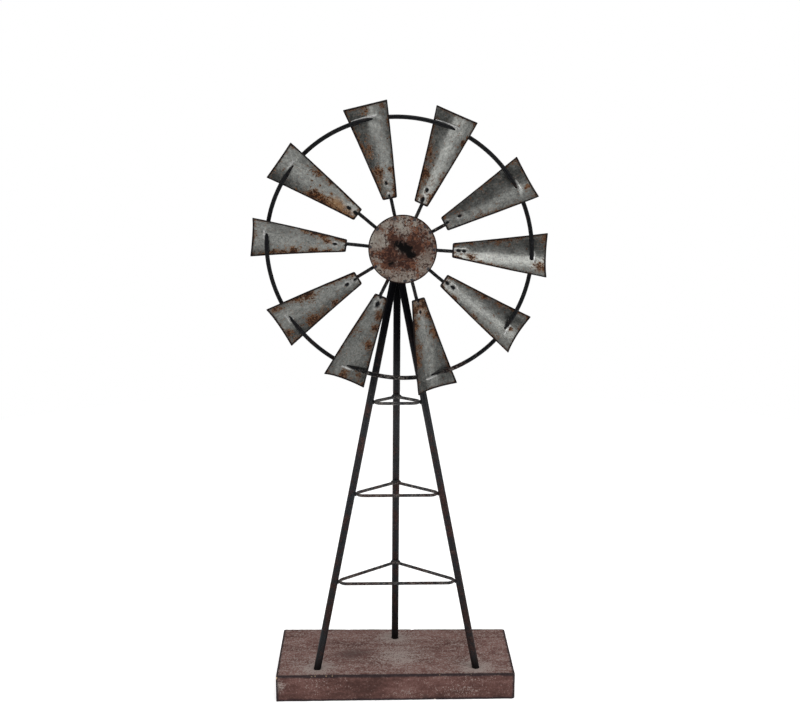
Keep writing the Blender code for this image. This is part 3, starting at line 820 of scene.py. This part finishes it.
def make_tower_welds(finish):
    shape = bmesh.new()
    touch = LEG_DIAMETER / 2.0 + GAP
    for height in BRACE_HEIGHTS.values():
        for name, side in (("leg_front_left", 1.0), ("leg_front_right", -1.0)):
            leg = leg_axis_at(name, height)
            for rise, size in ((-1.1, 1.0), (0.9, 1.15)):
                spot = leg + Vector((side * touch, 0.4 * MM, rise * MM))
                lump(shape, spot, size * MM, height * 90.0 + side + rise, 1.3, leg_direction(name))
        back = leg_axis_at("leg_back", height)
        for side in (-1.0, 1.0):
            for rise in (-0.9, 1.0):
                spot = back + Vector((side * 2.6 * MM, -touch + 0.9 * MM, rise * MM))
                lump(shape, spot, 1.45 * MM, height * 70.0 + side * 2.0 + rise, 1.3)
        for aside, size in ((-3.6, 1.7), (-1.3, 2.1), (1.3, 2.2), (3.5, 1.8)):
            spot = back + Vector((aside * MM, -touch - (1.5 - 0.2 * abs(aside)) * MM, 0.2 * MM))
            lump(shape, spot, size * MM, height * 55.0 + aside, 1.25)
    underside = WHEEL_CENTRE.z - SLEEVE_DIAMETER / 2.0
    for name in LEG_FEET:
        offset_x, top_y = LEG_TOP_OFFSETS[name]
        top = Vector((WHEEL_CENTRE.x + offset_x, top_y, underside - 0.6 * MM))
        for k in range(9):
            angle = 2.0 * math.pi * k / 9.0
            reach = LEG_DIAMETER / 2.0 - 0.3 * MM
            spot = top + Vector((reach * math.cos(angle), reach * math.sin(angle), 0.0))
            if abs(spot.x - WHEEL_CENTRE.x) < SLEEVE_DIAMETER / 2.0:
                lump(shape, spot, 1.35 * MM, k + top_y * 900.0, 1.2)
    for k in range(6):
        height = 0.4255 + 3.4 * MM * k
        spot = Vector((WHEEL_CENTRE.x - 1.6 * MM + 0.3 * MM * k, -0.0075 - 0.15 * MM * k, height))
        lump(shape, spot, 1.7 * MM, 31.0 + k, 1.25)
    add_piece("tower_welds", fused("tower_welds", shape), finish, "stand", "tower_rod")


# ================================================================ turned pieces

def turned(profile, sides, flats=None):
    """A ring turned about the wheel's axis. profile is (radius, distance back) points; flats is
    the distance across a hexagon that trims it."""
    shape = bmesh.new()
    rings = []
    for k in range(sides):
        angle = 2.0 * math.pi * k / sides
        limit = 1.0
        if flats:
            limit = flats / 2.0 / math.cos((angle + math.pi / 6.0) % (math.pi / 3.0) - math.pi / 6.0)
        ring = []
        for radius, back in profile:
            reach = min(radius, limit)
            ring.append(shape.verts.new(WHEEL_CENTRE + Vector(
                (reach * math.cos(angle), back, reach * math.sin(angle)))))
        rings.append(ring)
    count = len(profile)
    for k in range(sides):
        near, far = rings[k], rings[(k + 1) % sides]
        for i in range(count):
            j = (i + 1) % count
            shape.faces.new((near[i], near[j], far[j], far[i]))
    return shape


def collar_profile(inner, outer, front, back, chamfer):
    return ((inner, front), (outer - chamfer, front), (outer, front + chamfer),
            (outer, back - chamfer), (outer - chamfer, back), (inner, back))


def make_axle_set(finish):
    bore = AXLE_DIAMETER / 2.0
    steps = 60
    sleeve = turned(collar_profile(bore + 0.1 * MM, SLEEVE_DIAMETER / 2.0, SLEEVE_FRONT,
                                   SLEEVE_BACK, 0.4 * MM), steps)
    add_piece("axle_sleeve_tube", mesh_from("sleeve", sleeve), finish, "stand",
              "tower_rod", "axle_sleeve")
    for name, front, back in (("front_washer", 0.0010, 0.0022), ("rear_washer", 0.0343, 0.0355)):
        washer = turned(collar_profile(bore + GAP, 6.0 * MM, front, back, 0.2 * MM), steps)
        add_piece(name + "_disc", mesh_from(name, washer), finish, "wheel",
                  "fastener_steel", name)
    across_flats = 10.0 * MM
    corner = across_flats / math.sqrt(3.0)
    nut = turned(collar_profile(bore + GAP, corner, 0.0358, 0.0408, 0.7 * MM), steps, across_flats)
    add_piece("axle_nut_hexagon", mesh_from("nut", nut, 25.0), finish, "wheel",
              "fastener_steel", "axle_nut")
    head_front, head_back, shank_back = -0.0033, 0.0007, 0.0428
    eye = 0.01 * MM
    profile = [(eye, head_front), (corner - 0.7 * MM, head_front), (corner, head_front + 0.7 * MM),
               (corner, head_back), (bore, head_back)]
    pitch = 1.0 * MM
    thread = 0.0345
    while thread < shank_back - pitch:
        profile += [(bore, thread), (bore - 0.35 * MM, thread + pitch / 2.0)]
        thread += pitch
    profile += [(bore, shank_back - 0.5 * MM), (bore - 0.5 * MM, shank_back), (eye, shank_back)]
    axle = turned(profile, steps, across_flats)
    bmesh.ops.remove_doubles(axle, verts=axle.verts, dist=0.03 * MM)
    add_piece("axle_bolt", mesh_from("axle", axle, 25.0), finish, "wheel",
              "fastener_steel", "axle")


# ================================================================ wheel

def ring_radius_at(angle):
    shift = RING_SHIFT * math.cos(angle - RING_SHIFT_ANGLE)
    oval = RING_OVAL * math.cos(2.0 * (angle - RING_OVAL_ANGLE))
    wave = RING_WAVE * math.cos(3.0 * (angle - RING_WAVE_ANGLE))
    return RING_RADIUS + shift + oval + wave


def wheel_point(angle, radius, back=0.0):
    return WHEEL_CENTRE + Vector((radius * math.cos(angle), back, radius * math.sin(angle)))


def ring_pinch(crossings):
    """A function for the share of the ring's diameter left at a point on its line."""
    def slim(point):
        place = point - WHEEL_CENTRE
        angle = math.atan2(place.z, place.x)
        left = 1.0
        for middle, (pinch, reach) in zip(crossings, RING_PINCHES):
            turn = (angle - middle + math.pi) % (2.0 * math.pi) - math.pi
            away = turn * RING_RADIUS
            depth = ease(away, reach * MM, -1.0 * MM) * ease(away, -10.0 * MM, -5.0 * MM)
            left = min(left, 1.0 - pinch * depth)
        return left
    return slim


def make_ring(finish):
    shape = bmesh.new()
    count = 520
    path = []
    for i in range(count):
        angle = 2.0 * math.pi * i / count
        path.append(wheel_point(angle, ring_radius_at(angle)))
    crossings = [BladeFrame(index).ring_crossing() for index in range(len(SPOKE_ANGLES_DEG))]
    sweep(shape, path, RING_DIAMETER, BACKWARD, 18, closed=True, wear=0.02, seed=8.0,
          slim=ring_pinch(crossings))
    add_piece("wheel_ring_rod", mesh_from("ring", shape), finish, "wheel",
              "wheel_rod", "wheel_ring")


class BladeFrame:
    """One blade's place: its root, its direction outward and its two cross directions."""

    def __init__(self, index):
        self.spoke_angle = math.radians(SPOKE_ANGLES_DEG[index])
        blade_angle = self.spoke_angle + math.radians(BLADE_LEANS_DEG[index])
        self.pitch = BLADE_PITCH + math.radians(BLADE_TWISTS_DEG[index])
        self.spoke_direction = Vector((math.cos(self.spoke_angle), 0.0, math.sin(self.spoke_angle)))
        root_radius = ring_radius_at(self.spoke_angle) - BLADE_ROOT_INSIDE_RING
        self.root = WHEEL_CENTRE + self.spoke_direction * root_radius
        self.outward = Vector((math.cos(blade_angle), 0.0, math.sin(blade_angle)))
        self.sideways = Vector((-math.sin(blade_angle), 0.0, math.cos(blade_angle)))
        self.across = self.sideways * math.cos(self.pitch) + BACKWARD * math.sin(self.pitch)
        self.behind = BACKWARD * math.cos(self.pitch) - self.sideways * math.sin(self.pitch)

    def at(self, along, across, behind):
        return self.root + self.outward * along + self.across * across + self.behind * behind

    def sheet(self, along, across):
        """The point on the bent sheet's middle surface, and the normal that faces forwards."""
        dip = BLADE_BEND_RADIUS - math.sqrt(BLADE_BEND_RADIUS ** 2 - across ** 2)
        lean = math.asin(across / BLADE_BEND_RADIUS)
        normal = -self.behind * math.cos(lean) - self.across * math.sin(lean)
        return self.at(along, across, -dip), normal

    def local(self, point):
        offset = point - self.root
        return offset.dot(self.outward), offset.dot(self.across)

    def along_at_radius(self, across, extra):
        """How far along the blade the ring's line, moved out by extra, is."""
        along = BLADE_ROOT_INSIDE_RING
        for _ in range(4):
            point = self.sheet(along, across)[0] - WHEEL_CENTRE
            angle = math.atan2(point.z, point.x)
            along += ring_radius_at(angle) + extra - math.hypot(point.x, point.z)
        return along

    def ring_crossing(self):
        """The angle round the wheel where the ring passes through the sheet."""
        point = self.sheet(self.along_at_radius(0.0, 0.0), 0.0)[0] - WHEEL_CENTRE
        return math.atan2(point.z, point.x)


def spaced(stops, end):
    """Values from the first stop to end; each stop is (start, step)."""
    values = []
    for (start, step), (stop, _) in zip(stops, list(stops[1:]) + [(end, 0.0)]):
        count = max(1, round((stop - start) / step))
        values += [start + (stop - start) * i / count for i in range(count)]
    return values + [end]


BLADE_ROWS = [v * MM for v in spaced(
    [(0.0, 0.3), (1.2, 0.6), (20.0, 1.5), (71.0, 0.6), (83.0, 1.1), (89.4, 0.3)], 90.9)]
BLADE_COLUMNS = spaced([(-1.0, 0.02), (-0.92, 0.05), (0.92, 0.02)], 1.0)
EDGE_ROUND = 0.12 * MM


def rounded_corner(along, across, width, radius, end):
    """Pulls points near a corner of the sheet in to a round corner."""
    from_end = along if end == 0.0 else end - along
    from_side = width / 2.0 - abs(across)
    x, y = radius - from_end, radius - from_side
    if x <= 0.0 or y <= 0.0:
        return along, across
    pull = max(x, y) / math.hypot(x, y)
    from_end, from_side = radius - x * pull, radius - y * pull
    along = from_end if end == 0.0 else end - from_end
    return along, math.copysign(width / 2.0 - from_side, across)


def blade_relief(index, along, across, width, to_ring, tangential):
    """How far the front of the sheet stands forward of its plain curve, its weld marks, and a light mask:
    painted highlight on the raised lip beside the ring's slit, and pale rings round the spot welds.
    """
    spot = Vector((along, across, 0.05 * index))
    rise = 0.30 * MM * rough(spot, 55.0, 3.0) + 0.10 * MM * rough(spot, 190.0, 7.0)
    calm = min(1.0, (width / 2.0 - abs(across)) / (2.0 * MM) + 0.3)
    rise *= calm
    fold_at, fold = BLADE_FOLDS[index]
    from_fold = math.hypot(across - fold_at * width / 2.0, 1.0 * MM)
    rise += fold * (from_fold - width / 4.0) * ease(along, 6.0 * MM, 24.0 * MM)
    mark = 0.0
    halo = 0.0
    for weld, size in SPOT_WELDS[index]:
        x = (along - weld * MM) / (2.1 * size * MM)
        y = (across - 0.4 * MM * rough(spot, 900.0)) / (1.35 * size * MM)
        reach = math.hypot(x, y) + 0.25 * rough(spot, 700.0, weld)
        rise -= 0.42 * MM * bell(reach, 0.8)
        rise += 0.16 * MM * bell(reach - 1.5, 0.45)
        mark = max(mark, 1.25 * bell(reach, 0.95))
        halo = max(halo, (0.28 + 0.5 * rough(spot, 260.0, weld)) * bell(reach - 1.7, 0.6))
    lifted = ease(tangential, -2.0 * MM, -5.0 * MM) * ease(tangential, -13.0 * MM, -6.0 * MM)
    rise += 0.45 * MM * lifted * bell(to_ring, 2.6 * MM)
    # The lip is raised, and the finish also paints a highlight on it.
    lip_window = ease(tangential, -7.0 * MM, -4.0 * MM) * ease(tangential, 6.0 * MM, 2.0 * MM)
    lip = bell(to_ring - 2.6 * MM, 0.8 * MM) * lip_window
    rise += 0.40 * MM * lip
    return rise, mark, max(lip, halo)


def blade_point(frame_, index, along, share, front_share):
    """A point of the blade: share goes from -1 to 1 across, front_share is 1 on the front."""
    width = BLADE_ROOT_WIDTH + (BLADE_TIP_WIDTH - BLADE_ROOT_WIDTH) * along / BLADE_LENGTH
    half = width / 2.0 - EDGE_ROUND
    across = share * half
    nibble = 0.10 * MM * (1.0 + rough(Vector((along, share, index)), 120.0, 11.0))
    across -= math.copysign(nibble, share) * ease(abs(share), 0.9, 1.0)
    inner_along = EDGE_ROUND + along * (1.0 - 2.0 * EDGE_ROUND / BLADE_LENGTH)
    inner_along, across = rounded_corner(inner_along, across, width - 2.0 * EDGE_ROUND,
                                         1.3 * MM, 0.0)
    inner_along, across = rounded_corner(inner_along, across, width - 2.0 * EDGE_ROUND,
                                         0.8 * MM, BLADE_LENGTH)
    point, normal = frame_.sheet(inner_along, across)
    place = point - WHEEL_CENTRE
    angle = math.atan2(place.z, place.x)
    to_ring = math.hypot(place.x, place.z) - ring_radius_at(angle)
    rise, _, _ = blade_relief(index, inner_along, across, width, to_ring,
                              across * math.cos(frame_.pitch))
    return point + normal * (rise + front_share * BLADE_THICKNESS / 2.0), normal


def blade_shape(index, frame_):
    shape = bmesh.new()
    rows, columns = BLADE_ROWS, BLADE_COLUMNS
    front, back = [], []
    for along in rows:
        front.append([])
        back.append([])
        for share in columns:
            for layer, side in ((front, 1.0), (back, -1.0)):
                point, _ = blade_point(frame_, index, along, share, side)
                layer[-1].append(shape.verts.new(point))
    for i in range(len(rows) - 1):
        for j in range(len(columns) - 1):
            for layer in (front, back):
                shape.faces.new((layer[i][j], layer[i + 1][j], layer[i + 1][j + 1], layer[i][j + 1]))
    m, n = len(rows) - 1, len(columns) - 1
    rim = ([(0, j) for j in range(n)] + [(i, n) for i in range(m)]
           + [(m, j) for j in range(n, 0, -1)] + [(i, 0) for i in range(m, 0, -1)])
    centre = sum((front[i][j].co for i, j in rim), Vector()) / len(rim)
    skirts = ([], [])
    for i, j in rim:
        top, bottom = front[i][j].co, back[i][j].co
        middle = (top + bottom) / 2.0
        thickness = (top - bottom).normalized()
        out = Vector()
        if i == 0:
            out -= frame_.outward
        if i == m:
            out += frame_.outward
        if j == 0:
            out -= frame_.across
        if j == n:
            out += frame_.across
        out = (out - thickness * out.dot(thickness)).normalized() * EDGE_ROUND
        for skirt, side in zip(skirts, (1.0, -1.0)):
            skirt.append(shape.verts.new(middle + thickness * side * BLADE_THICKNESS * 0.28 + out))
    loops = ([front[i][j] for i, j in rim], skirts[0], skirts[1], [back[i][j] for i, j in rim])
    for upper, lower in zip(loops, loops[1:]):
        for k in range(len(rim)):
            n_next = (k + 1) % len(rim)
            shape.faces.new((upper[k], upper[n_next], lower[n_next], lower[k]))
    return shape


def slit_cutter(index, frame_):
    """A short tube along the ring where it passes through the blade."""
    middle = frame_.ring_crossing()
    shape = bmesh.new()
    reach = 0.013 / RING_RADIUS
    path = []
    for i in range(25):
        angle = middle + reach * (i / 12.0 - 1.0)
        path.append(wheel_point(angle, ring_radius_at(angle)))
    crossings = [middle if i == index else middle + math.pi for i in range(len(RING_PINCHES))]
    sweep(shape, path, RING_DIAMETER + 2.0 * GAP, BACKWARD, 20, wear=0.0,
          slim=ring_pinch(crossings))
    return mesh_from("slit", shape)


def blade_fields(mesh, index, frame_):
    """What the finish needs to know at each vertex."""
    fields = {"edge": [], "rusty": [], "stain": [], "mark": [], "bright": []}
    places = []
    for vert in mesh.vertices:
        along, across = frame_.local(vert.co)
        width = BLADE_ROOT_WIDTH + (BLADE_TIP_WIDTH - BLADE_ROOT_WIDTH) * along / BLADE_LENGTH
        side_gap = width / 2.0 - abs(across)
        edge = max(0.0, min(side_gap, along, BLADE_LENGTH - along))
        place = vert.co - WHEEL_CENTRE
        to_ring = math.hypot(place.x, place.z) - ring_radius_at(math.atan2(place.z, place.x))
        _, mark, lip = blade_relief(index, along, across, width, to_ring,
                                    across * math.cos(frame_.pitch))
        share = across / (width / 2.0)
        spot = Vector((along, math.copysign(0.02, across), 0.31 * index))
        cluster = min(1.0, max(0.0, 0.62 + 1.5 * rough(spot, 85.0, 5.0)))
        rusty = 0.95 * cluster * bell(side_gap, 3.0 * MM)
        rusty += 0.45 * bell(BLADE_LENGTH - along, 3.0 * MM) + 0.30 * bell(along, 6.0 * MM)

        def patched(patches, start):
            value = start
            for patch_along, patch_across, radius, strength in patches[index]:
                x = (along - patch_along * BLADE_LENGTH) / MM
                y = (share - patch_across) * width / 2.0 / MM
                value = max(value, strength * bell(math.hypot(0.8 * x, y), radius * 1.1) + 0.3 * start)
            return value

        rusty = patched(RUST_PATCHES, rusty)
        fields["stain"].append(patched(STAIN_PATCHES, 0.0))
        fields["edge"].append(edge / MM)
        fields["rusty"].append(rusty)
        fields["mark"].append(mark)
        fields["bright"].append(lip)
        places.append((along, across, 0.0))
    for name, values in fields.items():
        set_attribute(mesh, name, values)
    layer = mesh.attributes.new("place", "FLOAT_VECTOR", "POINT")
    layer.data.foreach_set("vector", [v for place in places for v in place])


def make_blades():
    for index in range(len(SPOKE_ANGLES_DEG)):
        label = f"{index + 1:02d}"
        frame_ = BladeFrame(index)
        sheet = mesh_from("blade_" + label, blade_shape(index, frame_))
        cutter = bpy.data.objects.new("slit_cutter", slit_cutter(index, frame_))
        bpy.context.scene.collection.objects.link(cutter)

        def cut(obj):
            boolean = obj.modifiers.new("slit", "BOOLEAN")
            boolean.operation = "DIFFERENCE"
            boolean.solver = "EXACT"
            boolean.object = cutter

        mesh = applied(sheet, cut)
        bpy.data.objects.remove(cutter, do_unlink=True)
        mesh.shade_smooth()
        mesh.set_sharp_from_angle(angle=math.radians(42.0))
        blade_fields(mesh, index, frame_)
        add_piece(f"blade_{label}_sheet", mesh, sheet_finish("zinc_" + label, index), "wheel",
                  "galvanised_sheet", "blade_" + label)


def make_spokes(finish):
    for index in range(len(SPOKE_ANGLES_DEG)):
        label = f"{index + 1:02d}"
        frame_ = BladeFrame(index)
        inner = (WHEEL_CENTRE + frame_.spoke_direction * SPOKE_INNER_RADIUS
                 + BACKWARD * SPOKE_DEPTH)
        path = [inner, frame_.at(0.0, 0.0, SPOKE_DEPTH), frame_.at(SPOKE_UNDER_BLADE, 0.0, SPOKE_DEPTH)]
        shape = bmesh.new()
        sweep(shape, resample(path, 1.0 * MM), SPOKE_DIAMETER, BACKWARD, 16, wear=0.05,
              seed=20.0 + index)
        add_piece(f"spoke_{label}_rod", mesh_from("spoke_" + label, shape), finish, "wheel",
                  "wheel_rod", "spoke_" + label)


def hub_middle_burn(x, z):
    """Soot left where the axle was welded in, off the middle, and a smaller smudge beside it."""
    main = bell(math.hypot((x - 0.6 * MM) / 1.55, z - 2.2 * MM + 0.35 * x), 7.4 * MM)
    tail = bell(math.hypot(x - 8.5 * MM, z + 4.5 * MM), 5.2 * MM)
    smudge = 0.62 * bell(math.hypot((x + 10.0 * MM) / 1.2, z + 12.5 * MM), 5.2 * MM)
    return max(main, 0.9 * tail, smudge)


def make_hub():
    curve_radius = (HUB_RADIUS ** 2 + HUB_DOME ** 2) / (2.0 * HUB_DOME)
    half_angle = math.asin(HUB_RADIUS / curve_radius)
    rim_back = BLADE_THICKNESS / 2.0 - HUB_THICKNESS / 2.0
    rings, sides = 40, 120
    weld_angles = [math.radians(a) for a in SPOKE_ANGLES_DEG + (274.0, 46.0)]
    shape = bmesh.new()
    marks = {}

    def dome(radius, angle, side):
        radius *= 1.0 - 0.008 * (1.0 + rough(wheel_point(angle, 0.01), 160.0)) * ease(radius, 0.03, HUB_RADIUS)
        lean = math.asin(min(1.0, radius / curve_radius))
        rise = curve_radius * (math.cos(lean) - math.cos(half_angle))
        point = wheel_point(angle, radius, rim_back - rise)
        normal = Vector((math.cos(angle) * math.sin(lean), -math.cos(lean),
                         math.sin(angle) * math.sin(lean)))
        mark = 0.0
        lift = 0.0
        if side > 0.0:
            x, z = point.x - WHEEL_CENTRE.x, point.z - WHEEL_CENTRE.z
            lift = 0.16 * MM * rough(point, 90.0, 2.0) + 0.05 * MM * rough(point, 420.0, 4.0)
            burn = hub_middle_burn(x, z)
            lift += 0.22 * MM * burn * rough(point, 500.0, 6.0) + 0.10 * MM * burn
            for weld in weld_angles:
                gap = (point - wheel_point(weld, 30.6 * MM, point.y - WHEEL_CENTRE.y)).length
                gap *= 1.0 + 0.5 * rough(point, 600.0, weld)
                lift += 0.28 * MM * bell(gap - 1.3 * MM, 0.7 * MM) - 0.22 * MM * bell(gap, 0.9 * MM)
                mark = max(mark, bell(gap, 1.6 * MM))
        vert = shape.verts.new(point + normal * (side * HUB_THICKNESS / 2.0 + lift))
        marks[vert] = mark
        return vert

    layers = []
    for side in (1.0, -1.0):
        centre = dome(0.0, 0.0, side)
        grid = [[dome(HUB_RADIUS * (i + 1) / rings, 2.0 * math.pi * k / sides, side)
                 for k in range(sides)] for i in range(rings)]
        for k in range(sides):
            shape.faces.new((centre, grid[0][k], grid[0][(k + 1) % sides]))
            for i in range(rings - 1):
                shape.faces.new((grid[i][k], grid[i + 1][k],
                                 grid[i + 1][(k + 1) % sides], grid[i][(k + 1) % sides]))
        layers.append(grid[-1])
    for k in range(sides):
        j = (k + 1) % sides
        shape.faces.new((layers[0][k], layers[0][j], layers[1][j], layers[1][k]))
    shape.verts.index_update()
    mark_values = [marks[v] for v in shape.verts]
    mesh = mesh_from("hub", shape, 50.0)
    fields = {"burn": [], "wear": [], "edge": [], "mark": mark_values}
    for vert in mesh.vertices:
        place = vert.co - WHEEL_CENTRE
        x, z = place.x, place.z
        fields["burn"].append(hub_middle_burn(x, z))
        radius = math.hypot(x, z)
        band = bell(radius - 12.0 * MM, 11.0 * MM)
        pale = max(bell(math.hypot(x - 1.0 * MM, z - 17.0 * MM), 7.5 * MM),
                   bell(math.hypot(x + 21.0 * MM, z - 8.0 * MM), 8.5 * MM),
                   bell(math.hypot(x - 20.0 * MM, z + 10.0 * MM), 8.0 * MM),
                   bell(math.hypot(x - 0.0 * MM, z + 26.0 * MM), 7.0 * MM))
        low_left = bell(math.hypot(x + 15.0 * MM, z + 7.0 * MM), 10.0 * MM)
        wear = 0.30 + 0.55 * band + 0.12 * ease(x, -0.005, 0.02) + 0.25 * low_left - 0.62 * pale
        fields["wear"].append(wear)
        fields["edge"].append((HUB_RADIUS - radius) / MM)
    for name, values in fields.items():
        set_attribute(mesh, name, values)
    add_piece("hub_dome", mesh, hub_finish(), "wheel", "hub_steel", "hub_disc")


def make_wheel_welds(dark_finish, bright_finish):
    shape = bmesh.new()
    for index in range(len(SPOKE_ANGLES_DEG)):
        frame_ = BladeFrame(index)
        for side in (-1.0, 1.0):
            for radius in (26.0, 28.6, 31.2):
                spot = (WHEEL_CENTRE + frame_.spoke_direction * radius * MM
                        + frame_.sideways * side * 1.5 * MM + BACKWARD * 1.3 * MM)
                lump(shape, spot, 1.15 * MM, radius + index * 3.0 + side, 1.3, frame_.spoke_direction)
            for weld, _ in SPOT_WELDS[index]:
                for step in (-1.3, 1.3):
                    spot = frame_.at(weld * MM + step * MM + 1.5 * MM, side * 1.5 * MM, 1.3 * MM)
                    lump(shape, spot, 1.0 * MM, weld + step + side + index, 1.3, frame_.outward)
        for k in range(4):
            across = (2.0 + 1.8 * k) * MM
            along = frame_.along_at_radius(across, 1.5 * MM)
            point, normal = frame_.sheet(along, across)
            lump(shape, point - normal * 0.8 * MM, 0.9 * MM, index * 5.0 + k, 1.3, frame_.across)
    add_piece("wheel_welds", fused("wheel_welds", shape), dark_finish, "wheel", "wheel_rod")

    # Solder beads beside the ring, whose light colour also paints the ridge's highlight.
    shape = bmesh.new()
    for index, (start, end) in enumerate(SOLDER_LINES):
        frame_ = BladeFrame(index)
        count = max(2, round((start + end) / 0.8))
        for k in range(count + 1):
            tangential = (start - (start + end) * k / count) * MM
            across = tangential / math.cos(frame_.pitch)
            along = frame_.along_at_radius(across, 2.35 * MM)
            point, normal = frame_.sheet(along, across)
            swell = 0.62 + 0.30 * math.sin(math.pi * k / count) + 0.12 * rough(point, 800.0)
            lump(shape, point + normal * 0.45 * MM, swell * MM, index * 9.0 + k, 1.3, frame_.across)
    add_piece("ring_solder", fused("ring_solder", shape, 0.25 * MM), bright_finish, "wheel",
              "wheel_rod")


# ================================================================ stage

def make_camera():
    yaw, pitch, roll = CAMERA_YAW, CAMERA_PITCH, CAMERA_ROLL
    forward = Vector((math.sin(yaw) * math.cos(pitch), math.cos(yaw) * math.cos(pitch),
                      -math.sin(pitch)))
    level_right = Vector((math.cos(yaw), -math.sin(yaw), 0.0))
    level_up = level_right.cross(forward)
    right = level_right * math.cos(roll) + level_up * math.sin(roll)
    up = level_up * math.cos(roll) - level_right * math.sin(roll)
    data = bpy.data.cameras.new("camera")
    data.lens = CAMERA_LENS
    data.sensor_width = CAMERA_SENSOR
    data.sensor_fit = "HORIZONTAL"
    data.clip_start = 0.05
    camera = bpy.data.objects.new("camera", data)
    turn = Matrix((right, up, -forward)).transposed()
    camera.matrix_world = Matrix.Translation(CAMERA_PLACE) @ turn.to_4x4()
    bpy.context.scene.collection.objects.link(camera)
    bpy.context.scene.camera = camera


def make_floor():
    shape = bmesh.new()
    sides = 96
    rim = [shape.verts.new((FLOOR_RADIUS * math.cos(2.0 * math.pi * k / sides),
                            FLOOR_RADIUS * math.sin(2.0 * math.pi * k / sides), 0.0))
           for k in range(sides)]
    shape.faces.new(rim)
    mesh = mesh_from("floor", shape)
    f = Finish("floor_paper")
    tone = f.noise(f.place(), 3.0, 2.0)
    f.shader.inputs["Emission Color"].default_value = (1.0, 1.0, 1.0, 1.0)
    f.shader.inputs["Emission Strength"].default_value = FLOOR_GLOW
    mesh.materials.append(f.finish(f.ramp(tone, (0.3, (0.86, 0.86, 0.86)), (0.7, (0.90, 0.90, 0.90))),
                                   0.95, 0.0))
    floor = bpy.data.objects.new("floor", mesh)
    bpy.context.scene.collection.objects.link(floor)


def area_light(name, place, target, size, power, colour=(1.0, 1.0, 1.0)):
    data = bpy.data.lights.new(name, "AREA")
    data.shape = "RECTANGLE"
    data.size, data.size_y = size
    data.energy = power
    data.color = colour
    light = bpy.data.objects.new(name, data)
    light.location = place
    light.rotation_euler = (Vector(target) - Vector(place)).to_track_quat("-Z", "Y").to_euler()
    light.visible_camera = False
    bpy.context.scene.collection.objects.link(light)


def make_lights():
    target = (0.0, 0.0, 0.42)
    area_light("softbox_top", (0.25, -0.68, 1.75), target, (1.1, 0.8), 10.0)
    area_light("softbox_left", (-1.25, -0.95, 0.68), target, (1.0, 1.0), 7.0)
    area_light("softbox_right", (1.35, -0.85, 0.85), target, (0.9, 1.4), 9.0)


def make_world():
    """Soft light from above and the sides; the view past the floor is plain white."""
    world = bpy.data.worlds.new("studio")
    world.use_nodes = True
    tree = world.node_tree
    background = tree.nodes["Background"]
    coordinates = tree.nodes.new("ShaderNodeTexCoord")
    split = tree.nodes.new("ShaderNodeSeparateXYZ")
    tree.links.new(coordinates.outputs["Generated"], split.inputs[0])

    def slope(axis, sign, start, end, low, high):
        flip = tree.nodes.new("ShaderNodeMath")
        flip.operation = "MULTIPLY"
        flip.inputs[1].default_value = sign
        tree.links.new(split.outputs[axis], flip.inputs[0])
        made = tree.nodes.new("ShaderNodeMapRange")
        made.interpolation_type = "SMOOTHSTEP"
        made.inputs["From Min"].default_value = start
        made.inputs["From Max"].default_value = end
        made.inputs["To Min"].default_value = low
        made.inputs["To Max"].default_value = high
        tree.links.new(flip.outputs[0], made.inputs["Value"])
        return made.outputs["Result"]

    def combine(operation, first, second):
        made = tree.nodes.new("ShaderNodeMath")
        made.operation = operation
        tree.links.new(first, made.inputs[0])
        tree.links.new(second, made.inputs[1])
        return made.outputs[0]

    above = slope("Z", 1.0, -0.1, 0.8, 0.15, 0.75)
    left = slope("X", -1.0, 0.2, 0.9, 0.0, 0.20)
    front = slope("Y", -1.0, 0.2, 0.9, 1.0, 0.30)
    strength = combine("MULTIPLY", combine("ADD", above, left), front)
    path = tree.nodes.new("ShaderNodeLightPath")
    seen = tree.nodes.new("ShaderNodeMix")
    tree.links.new(path.outputs["Is Camera Ray"], seen.inputs["Factor"])
    tree.links.new(strength, seen.inputs["A"])
    seen.inputs["B"].default_value = 1.0
    tree.links.new(seen.outputs["Result"], background.inputs["Strength"])
    background.inputs["Color"].default_value = (1.0, 1.0, 1.0, 1.0)
    bpy.context.scene.world = world
    bpy.context.scene.view_settings.view_transform = "Standard"


# ================================================================ the whole

make_camera()
make_world()
make_lights()
make_floor()

tower_finish = rod_finish("tower_steel", 0.44, 0.10, 0.95, 0.30, painted_shade_top=0.9)
# On the ring's bottom the brown is a painted reflection of the brown base, and the extra bare metal a painted
# highlight.
wheel_rod_finish = rod_finish("wheel_steel", 0.38, 0.325, 0.48, 0.10, 0.60, 0.10)
spoke_finish = rod_finish("spoke_steel", 0.36, 0.20, 0.42, 0.10, 0.545)
# The braces' high shade and low wear threshold add painted highlight along the wire to the real wear.
brace_finish = rod_finish("brace_steel", 0.40, 0.14, 1.4, 0.34, 0.495)
zinc_finish = fastener_finish()
dark_weld = weld_finish("dark_weld", (0.003, 0.003, 0.004), (0.024, 0.023, 0.024), 0.1)
# The solder's light grey is solder metal and also painted highlight along the ridge beside the ring.
bright_solder_and_highlight = weld_finish("bright_solder_and_highlight", (0.16, 0.16, 0.16), (0.62, 0.62, 0.61), 0.25)

make_base()
make_legs(tower_finish)
make_braces(brace_finish)
make_tower_welds(dark_weld)
make_axle_set(zinc_finish)
make_ring(wheel_rod_finish)
make_blades()
make_spokes(spoke_finish)
make_hub()
make_wheel_welds(dark_weld, bright_solder_and_highlight)
